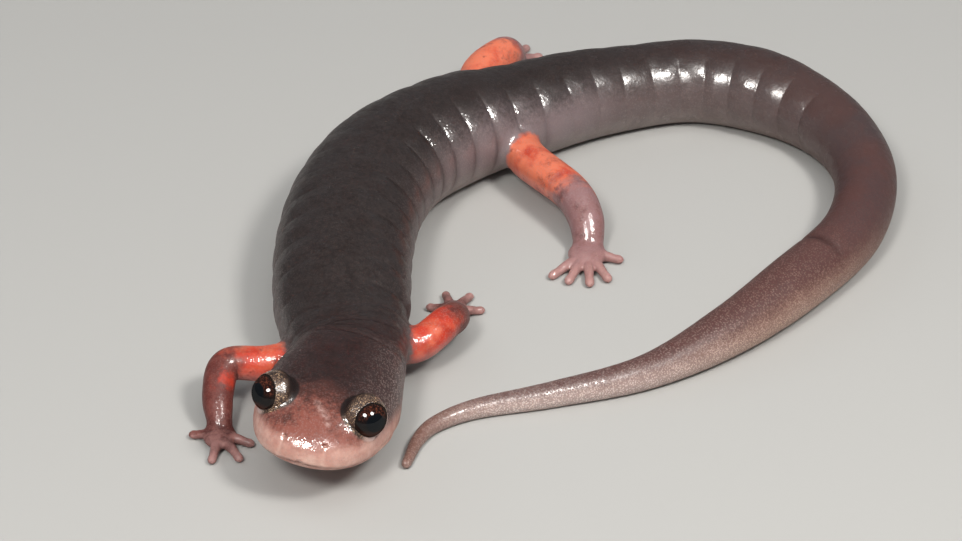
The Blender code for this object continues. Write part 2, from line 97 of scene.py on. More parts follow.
def sizes_at(stations, distance):
    """Sizes at each distance, on smooth curves through the stations that never overshoot them."""
    table = np.array(stations, float)
    x, y = table[:, 0], table[:, 1:]
    rise = np.diff(y, axis=0) / np.diff(x)[:, None]
    same_way = rise[:-1] * rise[1:] > 0
    total = np.where(same_way, rise[:-1] + rise[1:], 1.0)
    slope = np.zeros_like(y)
    slope[1:-1] = np.where(same_way, 2 * rise[:-1] * rise[1:] / total, 0.0)
    d = np.clip(np.asarray(distance, float), x[0], x[-1])
    i = np.clip(np.searchsorted(x, d, side="right") - 1, 0, len(x) - 2)
    span = (x[i + 1] - x[i])[..., None]
    t = (d - x[i])[..., None] / span
    return cubic(y[i], y[i + 1], slope[i] * span, slope[i + 1] * span, t)


def eased_step(low, high, value):
    t = np.clip((value - low) / (high - low), 0, 1)
    return t * t * (3 - 2 * t)


SPINE = smooth_line(ROUTE_POINTS)
SPINE_MARKS = marks_along(SPINE)
SPINE_LENGTH = SPINE_MARKS[-1]
ROUND = 2 * np.pi * np.arange(SIDES) / SIDES


def body_rings(distance):
    """Upright cross-sections of the trunk and tail, one for each distance back from the nape."""
    distance = np.atleast_1d(distance)
    half_width, half_height = sizes_at(BODY_SIZES, distance).T
    back = heading_at(SPINE, SPINE_MARKS, distance)
    left = np.stack([back[:, 1], -back[:, 0]], -1)
    middle = point_at(SPINE, SPINE_MARKS, distance)
    rise = CHEST_RISE * np.clip(1 - distance / CHEST_RISE_END, 0, 1) ** 2
    level = BELLY_FLAT * half_height + rise
    rings = np.empty((len(distance), SIDES, 3))
    rings[..., :2] = middle[:, None] + left[:, None] * (np.cos(ROUND) * half_width[:, None])[..., None]
    rings[..., 2] = np.maximum(level[:, None] + np.sin(ROUND) * half_height[:, None], 0.0)
    return rings


def tail_end_rings():
    """Shrinking rings that round off the tail's tip."""
    last = body_rings(SPINE_LENGTH)[0]
    ahead = np.append(heading_at(SPINE, SPINE_MARKS, SPINE_LENGTH), 0.0)
    middle = last.mean(axis=0)
    radius = sizes_at(BODY_SIZES, SPINE_LENGTH)[0]
    rings = []
    for turn in np.radians([25, 48, 68, 85]):
        rings.append(middle + ahead * radius * math.sin(turn) + (last - middle) * math.cos(turn))
    return np.array(rings)


# The head: broad and blunt, with a full upper lip that hides most of the lower jaw, turned and
# tilted on a short neck. It is drawn in its own frame, with x to the snout and y to its left.
HEAD_LENGTH, HEAD_BACK = 12.4, 10.9
HEAD_PLACE = Vector((-8.15, -15.6, 3.83))
HEAD_YAW, HEAD_PITCH, HEAD_ROLL = -103.5, 3.6, -7.8
HEAD_SIZES = [
    (0.0, 0.28, -0.42, -0.72, -1.00), (0.22, 1.42, 0.18, -0.74, -1.36), (0.80, 2.51, 0.78, -0.78, -1.66),
    (1.70, 3.25, 1.22, -0.82, -1.90), (2.90, 3.82, 1.62, -0.84, -2.10), (4.20, 4.18, 1.92, -0.86, -2.26),
    (5.80, 4.42, 2.16, -0.98, -2.40), (7.60, 4.42, 2.34, -1.05, -2.50), (9.40, 4.12, 2.44, -0.90, -2.52),
    (11.0, 3.80, 2.52, -0.60, -2.52), (12.4, 3.65, 2.60, -0.30, -2.50),
]
SECTION_FULLNESS = 2.35
MOUTH_CORNER, CHIN_SETBACK = 7.4, 0.42
HEAD_RINGS, NECK_RINGS, NECK_PULL = 56, 14, 2.6

head_turn = Matrix.Rotation(math.radians(HEAD_YAW), 4, "Z")
head_turn @= Matrix.Rotation(-math.radians(HEAD_PITCH), 4, "Y")
head_turn @= Matrix.Rotation(math.radians(HEAD_ROLL), 4, "X")
HEAD = np.array(Matrix.Translation(HEAD_PLACE) @ head_turn)
HEAD_INVERSE = np.linalg.inv(HEAD)


def out_of_head(points):
    return points @ HEAD[:3, :3].T + HEAD[:3, 3]


def into_head(points):
    return points @ HEAD_INVERSE[:3, :3].T + HEAD_INVERSE[:3, 3]


def head_rings(back):
    back = np.atleast_1d(back)
    half_width, crown, mouth, throat = (column[:, None] for column in sizes_at(HEAD_SIZES, back).T)
    across, high = np.cos(ROUND)[None], np.sin(ROUND)[None]
    power = 2 / SECTION_FULLNESS
    tall = np.abs(high) ** power
    z = np.where(high >= 0, mouth + (crown - mouth) * tall, mouth - (mouth - throat) * tall)
    y = half_width * np.sign(across) * np.abs(across) ** power
    setback = CHIN_SETBACK * np.clip(1 - back / MOUTH_CORNER, 0, 1)[:, None] * np.clip(-high / 0.45, 0, 1)
    x = HEAD_LENGTH - back[:, None] - setback
    return out_of_head(np.stack(np.broadcast_arrays(x, y, z), -1))


def neck_rings():
    """The short neck, which leaves the head and meets the chest along their own directions."""
    step = 0.2
    head_end, before = head_rings([HEAD_BACK, HEAD_BACK - step])
    chest, after = body_rings([BODY_START, BODY_START + step])
    leaving = (head_end - before) / step * NECK_PULL
    arriving = (after - chest) / step * NECK_PULL
    t = (np.arange(1, NECK_RINGS) / NECK_RINGS)[:, None, None]
    return cubic(head_end, chest, leaving, arriving, t)


head_backs = HEAD_BACK * np.linspace(0, 1, HEAD_RINGS) ** 1.8
body_marks = np.linspace(BODY_START, SPINE_LENGTH, round((SPINE_LENGTH - BODY_START) / RING_SPACING))
neck = neck_rings()
tail_end = tail_end_rings()
BODY_RINGS = np.concatenate([head_rings(head_backs), neck, body_rings(body_marks), tail_end])
neck_marks = np.linspace(HEAD_BACK - HEAD_LENGTH, BODY_START, NECK_RINGS + 1)[1:-1]
RING_MARKS = np.concatenate([
    head_backs - HEAD_LENGTH, neck_marks, body_marks, SPINE_LENGTH + 0.1 * np.arange(1, len(tail_end) + 1),
])


def ring_faces(count, sides):
    """Four-sided faces between neighbouring rings, and one face that closes each end."""
    faces = []
    for r in range(count - 1):
        for k in range(sides):
            n = (k + 1) % sides
            faces.append((r * sides + k, (r + 1) * sides + k, (r + 1) * sides + n, r * sides + n))
    faces.append(tuple(range(sides)))
    faces.append(tuple(range((count - 1) * sides, count * sides))[::-1])
    return faces


BODY_FACES = ring_faces(len(BODY_RINGS), SIDES)
BODY_POINTS = BODY_RINGS.reshape(-1, 3)


# The legs: short and soft, the upper lengths set into the flank and the lower ones bent down to
# small flat feet, four toes in front and five behind. Each is swept along its own curve.
FORE_ROOT, HIND_ROOT = 2.9, 35.0
ROOT_DEPTH, ROOT_HEIGHT = 0.45, 0.72
LIMBS = {
    "fore_right": {
        "root": FORE_ROOT, "side": -1,
        "path": [(-13.7, -14.9, 2.55), (-16.3, -15.4, 2.75), (-16.85, -17.3, 1.9), (-16.65, -19.2, 0.85)],
        "palm": (-16.6, -20.0),
        "toes": [(-18.45, -19.6), (-17.0, -22.5), (-15.2, -22.3), (-14.55, -20.6)],
    },
    "fore_left": {
        "root": FORE_ROOT, "side": 1,
        "path": [(-4.15, -12.7, 2.55), (-2.25, -10.6, 2.85), (-1.75, -8.7, 2.0), (-1.95, -6.7, 0.85)],
        "palm": (-1.9, -5.9),
        "toes": [(-3.5, -4.9), (-2.4, -3.3), (-0.7, -3.5), (0.1, -5.3)],
    },
    "hind_left": {
        "root": HIND_ROOT, "side": 1,
        "path": [(3.4, 10.3, 2.6), (6.2, 5.9, 2.7), (7.2, 3.9, 1.9), (7.4, 2.4, 0.9)],
        "palm": (7.3, 1.3),
        "toes": [(4.75, -1.2), (5.9, -1.9), (7.4, -2.2), (8.7, -1.6), (9.6, 0.9)],
    },
    "hind_right": {
        "root": HIND_ROOT, "side": -1,
        "path": [(-0.2, 21.0, 3.2), (1.6, 23.7, 3.5), (2.1, 25.3, 2.2), (2.2, 26.8, 0.9)],
        "palm": (2.0, 27.9),
        "toes": [(4.5, 29.2), (3.5, 30.6), (1.9, 31.2), (0.4, 30.6), (-0.5, 28.7)],
    },
}
FORE_RADII = [1.34, 1.20, 1.12, 1.04, 0.86]
HIND_RADII = [1.66, 1.42, 1.38, 1.32, 1.12]
PALM_LENGTH, PALM_WIDTH, PALM_THICKNESS = 1.3, 1.1, 0.54
HIND_GROWTH = 1.22
PALM_LIFT, PALM_JOIN = 0.84, 0.8
TOE_PROFILE = [
    (0.0, 0.40), (0.30, 0.37), (0.55, 0.30), (0.74, 0.27), (0.86, 0.30), (0.93, 0.28), (0.975, 0.20),
    (1.0, 0.07),
]
TOE_START, TOE_LIFT, TOE_ARCH = 0.16, 0.86, 0.16
LIMB_SIDES, LIMB_STEPS = 28, 16


class Nodes:
    """Short ways to add and join the nodes of one tree."""

    def __init__(self, tree):
        self.tree = tree

    def put(self, socket, value):
        if isinstance(value, bpy.types.NodeSocket):
            self.tree.links.new(value, socket)
        elif isinstance(value, tuple) and socket.type == "RGBA":
            socket.default_value = (*value, 1.0)
        else:
            socket.default_value = value

    def add(self, kind, inputs=None, **settings):
        node = self.tree.nodes.new(kind)
        for name, value in settings.items():
            setattr(node, name, value)
        for socket, value in (inputs or {}).items():
            self.put(node.inputs[socket], value)
        return node

    def math(self, operation, a, b=0.0, clamp=False):
        return self.add("ShaderNodeMath", {0: a, 1: b}, operation=operation, use_clamp=clamp).outputs[0]

    def times(self, a, b, clamp=False):
        return self.math("MULTIPLY", a, b, clamp)

    def over(self, a, b):
        return self.math("DIVIDE", a, b)

    def plus(self, a, b, clamp=False):
        return self.math("ADD", a, b, clamp)

    def minus(self, a, b):
        return self.math("SUBTRACT", a, b)

    def larger(self, a, b):
        return self.math("MAXIMUM", a, b)


def new_tree(name, inputs):
    """An empty tree that takes a shape, these inputs and a skin, and gives a shape back."""
    tree = bpy.data.node_groups.new(name, "GeometryNodeTree")
    for label, kind in {"Geometry": "Geometry", **inputs, "Skin": "Material"}.items():
        tree.interface.new_socket(label, in_out="INPUT", socket_type="NodeSocket" + kind)
    tree.interface.new_socket("Geometry", in_out="OUTPUT", socket_type="NodeSocketGeometry")
    g = Nodes(tree)
    return g, g.add("NodeGroupInput").outputs


def finish_tree(g, source, shape):
    """Ends a tree with real points in place of instances, and the skin's material on them."""
    real = g.add("GeometryNodeRealizeInstances", {"Geometry": shape}).outputs["Geometry"]
    painted = g.add("GeometryNodeSetMaterial", {"Geometry": real, "Material": source["Skin"]})
    g.add("NodeGroupOutput", {"Geometry": painted.outputs["Geometry"]})
    return g.tree


def sweep_tree():
    """Round section swept along a curve, as thick at each point as the curve's radius there."""
    g, source = new_tree("limb sweep", {"Sides": "Int"})
    circle = g.add("GeometryNodeCurvePrimitiveCircle", {"Resolution": source["Sides"], "Radius": 1.0})
    sweep = g.add("GeometryNodeCurveToMesh", {
        "Curve": source["Geometry"], "Profile Curve": circle.outputs["Curve"],
        "Scale": g.add("GeometryNodeInputRadius").outputs["Radius"], "Fill Caps": True,
    })
    return finish_tree(g, source, sweep.outputs["Mesh"])


SWEEP = sweep_tree()
skin_material = bpy.data.materials.new("wet skin")


def set_inputs(modifier, values):
    """Gives a node tree's named inputs their values through the sockets' identifiers."""
    for item in modifier.node_group.interface.items_tree:
        if item.in_out == "INPUT" and item.name in values:
            modifier[item.identifier] = values[item.name]


def evaluated_mesh(obj):
    """The object's mesh with its modifiers applied. The object itself is removed."""
    bpy.context.view_layer.update()
    mesh = bpy.data.meshes.new_from_object(obj.evaluated_get(bpy.context.evaluated_depsgraph_get()))
    bpy.data.objects.remove(obj)
    return mesh


def positions(mesh):
    points = np.empty(len(mesh.vertices) * 3)
    mesh.vertices.foreach_get("co", points)
    return points.reshape(-1, 3)


def in_scene(name, data):
    """A new object in the scene for a mesh, a curve, a lamp or a camera."""
    obj = bpy.data.objects.new(name, data)
    bpy.context.scene.collection.objects.link(obj)
    return obj


def swept(name, line, radii):
    """Points and faces of a round sweep along a line, by the node tree above."""
    curve = bpy.data.curves.new(name, "CURVE")
    curve.dimensions = "3D"
    spline = curve.splines.new("POLY")
    spline.points.add(len(line) - 1)
    for point, place, radius in zip(spline.points, line, radii):
        point.co = (*place, 1.0)
        point.radius = float(radius)
    obj = in_scene(name, curve)
    modifier = obj.modifiers.new("sweep", "NODES")
    modifier.node_group = SWEEP
    set_inputs(modifier, {"Sides": LIMB_SIDES, "Skin": skin_material})
    mesh = evaluated_mesh(obj)
    return positions(mesh), [tuple(p.vertices) for p in mesh.polygons]


def palm_mesh(centre, along, scale):
    """The flat pad of a hand or foot, an egg shape turned along the foot."""
    work = bmesh.new()
    bmesh.ops.create_uvsphere(work, u_segments=28, v_segments=16, radius=1.0)
    points = np.array([v.co for v in work.verts]) * scale
    faces = [tuple(v.index for v in f.verts) for f in work.faces]
    work.free()
    turn = np.array([[along[0], -along[1], 0], [along[1], along[0], 0], [0, 0, 1]])
    return points @ turn.T + centre, faces


def limb_parts(name, limb):
    """The sweep of one leg, its palm and its toes as closed shapes, and the leg's own line."""
    hind = name.startswith("hind")
    growth = HIND_GROWTH if hind else 1.0
    half_width, half_height = sizes_at(BODY_SIZES, limb["root"])
    back = heading_at(SPINE, SPINE_MARKS, limb["root"])
    out = np.array([back[1], -back[0], 0]) * limb["side"]
    base = np.append(point_at(SPINE, SPINE_MARKS, limb["root"]), half_height * ROOT_HEIGHT)
    root = base + out * half_width * ROOT_DEPTH
    palm = np.array([*limb["palm"], PALM_THICKNESS * PALM_LIFT * growth])
    line = smooth_line([root, *limb["path"], palm], LIMB_STEPS)
    marks = marks_along(line)
    wrist = LIMB_STEPS * len(limb["path"])
    radii_given = HIND_RADII if hind else FORE_RADII
    stations = [(marks[wrist] * k / (len(radii_given) - 1), r) for k, r in enumerate(radii_given)]
    stations.append((marks[-1], PALM_THICKNESS * growth * PALM_JOIN))
    parts = [swept(name, line, sizes_at(stations, marks)[:, 0])]
    along = palm[:2] - line[wrist, :2]
    along /= np.linalg.norm(along)
    scale = np.array([PALM_LENGTH, PALM_WIDTH, PALM_THICKNESS]) * growth
    parts.append(palm_mesh(palm, along, scale))
    shares, radii = np.array(TOE_PROFILE).T
    radii = radii * (0.5 + growth / 2)
    height = radii * TOE_LIFT + TOE_ARCH * np.sin(np.pi * shares) ** 2
    for k, tip in enumerate(limb["toes"]):
        start = palm[:2] + (np.array(tip) - palm[:2]) * TOE_START
        places = start + (np.array(tip) - start) * shares[:, None]
        toe_line = smooth_line(np.column_stack([places, height]), 5)
        toe_marks = marks_along(toe_line)
        toe_radii = np.interp(toe_marks / toe_marks[-1], shares, radii)
        parts.append(swept(f"{name}_toe_{k + 1}", toe_line, toe_radii))
    return parts, line, wrist


# The eye sockets: the skin rises round each eye into a hood, thick above and in front and thin
# below. The same rule shapes the lids further down, which come out of these hoods.
EYE_BACK, EYE_OUT, EYE_HIGH = 3.6, 3.06, 1.36
EYE_RADIUS = 1.26
EYE_AZIMUTH, EYE_LIFT = 42.0, 16.0
OPENING_LOWER, OPENING_UPPER = 71.0, 63.0
RIM_THICKNESS, LOWER_THICKNESS, UPPER_THICKNESS = 0.05, 0.11, 0.31
LID_SWELL, LID_REACH, LID_LEAN = 42.0, 24.0, 35
LID_ROUND, SOCKET_STEPS = 96, 72
CRATER_RADIUS = EYE_RADIUS - 0.18


def turned_to(axis):
    """A turn that carries +Z onto an axis and keeps +Y as near the head's up as it can."""
    ahead = Vector(axis).normalized()
    up = Vector(HEAD[:3, 2])
    side = up.cross(ahead).normalized()
    return np.array([side, ahead.cross(side), ahead]).T


class Eye:
    """Where one eye is and looks, and how its hood's rim and thickness change round it."""

    def __init__(self, side):
        self.side = side
        self.centre = out_of_head(np.array([[HEAD_LENGTH - EYE_BACK, EYE_OUT * side, EYE_HIGH]]))[0]
        azimuth, lift = math.radians(EYE_AZIMUTH), math.radians(EYE_LIFT)
        ahead, aside = math.cos(lift) * math.cos(azimuth), math.cos(lift) * math.sin(azimuth)
        self.turn = turned_to(HEAD[:3, :3] @ [ahead, side * aside, math.sin(lift)])
        self.around = 2 * np.pi * np.arange(LID_ROUND) / LID_ROUND

    def upper(self, around):
        return 0.5 + 0.5 * np.cos(around - np.radians(90 + LID_LEAN * self.side))

    def rim(self, around):
        return np.radians(OPENING_LOWER + (OPENING_UPPER - OPENING_LOWER) * self.upper(around))

    def hood_radius(self, past_rim, around):
        """Distance of the hood from the eye's centre, by the angle past the rim in degrees."""
        thickest = LOWER_THICKNESS + (UPPER_THICKNESS - LOWER_THICKNESS) * self.upper(around) ** 1.2
        return EYE_RADIUS + RIM_THICKNESS + (thickest - RIM_THICKNESS) * eased_step(0, LID_SWELL, past_rim)

    def angles(self, points):
        """For each point its angle past the rim, its turn round the eye and its distance."""
        local = (points - self.centre) @ self.turn
        away = np.linalg.norm(local, axis=1)
        around = np.arctan2(local[:, 1], local[:, 0])
        polar = np.arccos(np.clip(local[:, 2] / away, -1, 1))
        return np.degrees(polar - self.rim(around)), around, away

    def dome(self, polar, radius):
        """Points all round the eye at these angles from its look and these distances from its centre."""
        across = np.sin(polar)
        level = np.broadcast_to(np.cos(polar), np.broadcast_shapes(np.shape(polar), (LID_ROUND,)))
        ring = np.stack([across * np.cos(self.around), across * np.sin(self.around), level], -1)
        return self.centre + (ring * np.asarray(radius)[..., None]) @ self.turn.T

    def socket(self):
        """A closed shape whose surface is the hood, with a crater where the eye looks out."""
        rings = []
        for polar in np.radians(np.linspace(1, 179, SOCKET_STEPS)):
            past = np.degrees(polar - self.rim(self.around))
            closed = eased_step(LID_REACH * 0.45, LID_REACH, past)
            radius = self.hood_radius(past, self.around) * closed + CRATER_RADIUS * (1 - closed)
            rings.append(self.dome(polar, radius))
        return np.concatenate(rings), ring_faces(len(rings), LID_ROUND)


# The skin: the body and legs grown into one surface, with soft fillets at the armpits and groins,
# ribbed flanks, folds behind the head, a mouth line, nostrils and flat soles. It is one wet skin.
VOXEL = 0.1
FILLET, FILLET_SHARE = 1.2, 0.6
FILLET_ROUNDS = 120
WRIST_START, WRIST_REACH = 0.7, {"fore": 1.5, "hind": 2.0}
SMOOTHING, SMOOTHING_ROUNDS = 0.35, 2
TRIANGLE_TARGET = 190_000
FAR = 50.0


def join_arrays(parts):
    points, faces, start = [], [], 0
    for part_points, part_faces in parts:
        points.append(part_points)
        faces += [tuple(i + start for i in face) for face in part_faces]
        start += len(part_points)
    return np.vstack(points), faces


def object_from(name, points, faces):
    mesh = bpy.data.meshes.new(name)
    mesh.from_pydata(points, [], faces)
    return in_scene(name, mesh)


def tidy_normals(mesh):
    work = bmesh.new()
    work.from_mesh(mesh)
    bmesh.ops.recalc_face_normals(work, faces=work.faces)
    work.to_mesh(mesh)
    work.free()


limb_sources, limb_lines, wrists = {}, {}, {}
for limb_name, limb_facts in LIMBS.items():
    found_parts, limb_lines[limb_name], wrists[limb_name] = limb_parts(limb_name, limb_facts)
    limb_sources[limb_name] = join_arrays(found_parts)
EYES = {"left": Eye(1), "right": Eye(-1)}
sources = {**limb_sources, **{"socket_" + word: eye.socket() for word, eye in EYES.items()}}
whole = object_from("skin", *join_arrays([(BODY_POINTS, BODY_FACES), *sources.values()]))
tidy_normals(whole.data)
remesh = whole.modifiers.new("grow together", "REMESH")
remesh.mode = "VOXEL"
remesh.voxel_size = VOXEL
remesh.adaptivity = 0.0
skin_mesh = evaluated_mesh(whole)


def set_positions(mesh, points):
    mesh.vertices.foreach_set("co", points.ravel())
    mesh.update()


def normals(mesh):
    found = np.empty(len(mesh.vertices) * 3)
    mesh.vertex_normals.foreach_get("vector", found)
    return found.reshape(-1, 3)


def nearest_on(tree, points, reach=FAR):
    """The nearest place, face and distance on a surface, for each point."""
    places, faces, gaps = np.empty_like(points), np.empty(len(points), int), np.empty(len(points))
    for i, point in enumerate(points):
        place, _, face, gap = tree.find_nearest(point, reach)
        if place is None:
            places[i], faces[i], gaps[i] = point, -1, reach
        else:
            places[i], faces[i], gaps[i] = place, face, gap
    return places, faces, gaps


BODY_TREE = BVHTree.FromPolygons(BODY_POINTS.tolist(), BODY_FACES)
TREES = {name: BVHTree.FromPolygons(p.tolist(), f) for name, (p, f) in sources.items()}
BOXES = {name: (p.min(axis=0) - FILLET, p.max(axis=0) + FILLET) for name, (p, _) in sources.items()}


def nearest_of(names, points):
    """For each point the place on the nearest of these shapes, its distance and which shape it is."""
    places = points.copy()
    gaps = np.full(len(points), FAR)
    which = np.full(len(points), -1)
    for k, name in enumerate(names):
        low, high = BOXES[name]
        inside = np.flatnonzero(((points > low) & (points < high)).all(axis=1))
        found, _, gap = nearest_on(TREES[name], points[inside])
        closer = gap < gaps[inside]
        chosen = inside[closer]
        places[chosen], gaps[chosen], which[chosen] = found[closer], gap[closer], k
    return places, gaps, which


def edge_ends(mesh):
    ends = np.empty(len(mesh.edges) * 2, int)
    mesh.edges.foreach_get("vertices", ends)
    return ends.reshape(-1, 2).T


def relaxed(points, ends, weight, rounds):
    """Moves each point towards the middle of its neighbours, by its weight, several times over."""
    first, second = ends
    count = np.bincount(first, minlength=len(points)) + np.bincount(second, minlength=len(points))
    for _ in range(rounds):
        middle = np.empty_like(points)
        for axis in range(3):
            total = np.bincount(first, points[second, axis], len(points))
            total += np.bincount(second, points[first, axis], len(points))
            middle[:, axis] = total / count
        points = points + (middle - points) * weight[:, None]
    return points


points = positions(skin_mesh)
ends = edge_ends(skin_mesh)
body_place, _, body_gap = nearest_on(BODY_TREE, points)
limb_place, limb_gap, _ = nearest_of(sources, points)
points = np.where((body_gap < limb_gap)[:, None], body_place, limb_place)
near_root = 1 - eased_step(0.0, FILLET, np.maximum(body_gap, limb_gap))
points = relaxed(points, ends, near_root * FILLET_SHARE, FILLET_ROUNDS)
near_wrist = np.zeros(len(points))
for name, line in limb_lines.items():
    away = np.linalg.norm(points - line[wrists[name]] - [0, 0, 0.1], axis=1)
    near_wrist = np.maximum(near_wrist, 1 - eased_step(WRIST_START, WRIST_REACH[name[:4]], away))
points = relaxed(points, ends, near_wrist * FILLET_SHARE, FILLET_ROUNDS // 2)
points = relaxed(points, ends, np.full(len(points), SMOOTHING), SMOOTHING_ROUNDS)


def share_of(run, offset):
    """How much of its run each offset covers, from 0 to 1."""
    return np.clip((offset * run).sum(1) / np.maximum((run * run).sum(1), 1e-9), 0, 1)


def place_on_body(points):
    """For each point, how far along the animal and how far round it is, and its distance from it."""
    places, faces, gaps = nearest_on(BODY_TREE, points)
    last_ring = len(BODY_RINGS) - 1
    ring = np.clip(np.where(faces == last_ring * SIDES, 0, faces // SIDES), 0, last_ring - 1)
    side, next_side = faces % SIDES, (faces + 1) % SIDES
    corner, across = BODY_RINGS[ring, side], BODY_RINGS[ring, next_side]
    start = (corner + across) / 2
    end = (BODY_RINGS[ring + 1, side] + BODY_RINGS[ring + 1, next_side]) / 2
    along = RING_MARKS[ring] + share_of(end - start, places - start) * np.diff(RING_MARKS)[ring]
    turn = 2 * np.pi * (side + share_of(across - corner, places - corner)) / SIDES
    return along, turn, gaps


# The rib furrows: fourteen sharp creases between soft ribs on each flank, and fainter ones round
# the tail's base. They press into the skin wherever it lies at a furrow's distance from the nape.
COSTAL_FIRST, COSTAL_LAST, COSTAL_COUNT = 5.0, 36.9, 14
CAUDAL_FIRST, CAUDAL_LAST, CAUDAL_COUNT = 39.35, 61.4, 10
RIB_DEPTH, TAIL_RIB_DEPTH = 0.27, 0.15
CREASE_WIDTH, CREASE_DEPTH = 0.12, 0.04
FULL_BEND = 0.10


def rib_tree():
    """Sinks a surface between evenly spaced ribs, by the marks along it and a mask of where it may."""
    labels = ("First", "Last", "Count", "Depth", "Crease Width", "Crease Depth")
    g, source = new_tree("rib furrows", dict.fromkeys(labels, "Float"))

    def attribute(name):
        node = g.add("GeometryNodeInputNamedAttribute", {"Name": name}, data_type="FLOAT")
        return node.outputs["Attribute"]

    last = g.minus(source["Count"], 1.0)
    spacing = g.over(g.minus(source["Last"], source["First"]), last)
    count = g.over(g.minus(attribute("along"), source["First"]), spacing)
    nearest = g.math("MINIMUM", g.larger(g.math("ROUND", count), 0.0), last)
    off = g.math("ABSOLUTE", g.minus(count, nearest))
    swell = g.math("SINE", g.times(g.math("MINIMUM", off, 0.5), math.pi))
    soft = g.times(g.minus(1.0, swell), source["Depth"])
    near = g.over(g.times(off, spacing), source["Crease Width"])
    sharp = g.times(g.math("EXPONENT", g.times(g.times(near, near), -1.0)), source["Crease Depth"])
    within = g.times(g.math("LESS_THAN", off, 0.5), attribute("ribbed"))
    sunk = g.times(g.plus(soft, sharp), within)
    normal = g.add("GeometryNodeInputNormal").outputs["Normal"]
    offset = g.add("ShaderNodeVectorMath", {0: normal, "Scale": g.times(sunk, -1.0)}, operation="SCALE")
    moved = g.add("GeometryNodeSetPosition", {
        "Geometry": source["Geometry"], "Offset": offset.outputs["Vector"],
    })
    return finish_tree(g, source, moved.outputs["Geometry"])


def store(mesh, name, values):
    layer = mesh.attributes.get(name) or mesh.attributes.new(name, "FLOAT", "POINT")
    layer.data.foreach_set("value", np.asarray(values, np.float32))


def ribbing(along, turn):
    """Ribs show on the flanks, most where a bend crowds them together, and fade over the back."""
    ahead = heading_at(SPINE, SPINE_MARKS, np.clip(along, 0, SPINE_LENGTH - 2) + 1.0)
    behind = heading_at(SPINE, SPINE_MARKS, np.clip(along, 1, SPINE_LENGTH) - 1.0)
    bend = behind[:, 1] * ahead[:, 0] - behind[:, 0] * ahead[:, 1]
    inside = np.clip(np.cos(turn) * bend / 2 / FULL_BEND, -1, 1)
    flank = eased_step(-0.75, -0.25, np.sin(turn)) * (1 - 0.9 * eased_step(0.80, 1.0, np.sin(turn)))
    return flank * np.clip(0.46 + 0.60 * inside, 0.14, 1.0)


along, turn, body_gap = place_on_body(points)
on_body = 1 - eased_step(0.0, 0.35, body_gap)
set_positions(skin_mesh, points)
store(skin_mesh, "along", along)
store(skin_mesh, "ribbed", on_body * ribbing(along, turn))
ribbed = in_scene("skin", skin_mesh)
RIBS = rib_tree()
for first, last, count, depth in (
    (COSTAL_FIRST, COSTAL_LAST, COSTAL_COUNT, RIB_DEPTH),
    (CAUDAL_FIRST, CAUDAL_LAST, CAUDAL_COUNT, TAIL_RIB_DEPTH),
):
    modifier = ribbed.modifiers.new("furrows", "NODES")
    modifier.node_group = RIBS
    set_inputs(modifier, {
        "First": first, "Last": last, "Count": float(count), "Depth": depth, "Crease Width": CREASE_WIDTH,
        "Crease Depth": CREASE_DEPTH * depth / RIB_DEPTH, "Skin": skin_material,
    })
skin_mesh = evaluated_mesh(ribbed)

# Folds and openings of the head and neck: the mouth line under the full lip, the nostrils with a
# fine groove down to the lip, and the soft wrinkles behind the head and across the throat.
MOUTH_DEPTH, MOUTH_WIDTH, MOUTH_DROP, CORNER_DROP = 0.13, 0.075, 0.20, 0.35
NOSTRIL_BACK, NOSTRIL_OUT, NOSTRIL_HIGH = 0.68, 1.31, 0.54
NOSTRIL_DEPTH, NOSTRIL_WIDTH, NOSTRIL_LIP = 0.20, 0.085, 0.035
SWELLING_OUT, SWELLING_DOWN, SWELLING_WIDTH = 0.12, 0.26, 0.22
LIP_GROOVE_DEPTH, LIP_GROOVE_WIDTH = 0.05, 0.10
NECK_FOLDS = [(-1.3, 0.11), (-0.2, 0.08), (0.75, 0.09), (1.7, 0.06), (2.8, 0.05)]
FOLD_WIDTH, FOLD_WANDER = 0.17, (0.22, 0.12)
TAIL_FOLD, TAIL_FOLD_DEPTH, TAIL_FOLD_WIDTH = 81.0, 0.16, 0.34
TAIL_FOLD_TURN, TAIL_FOLD_SPREAD = 85.0, 48.0


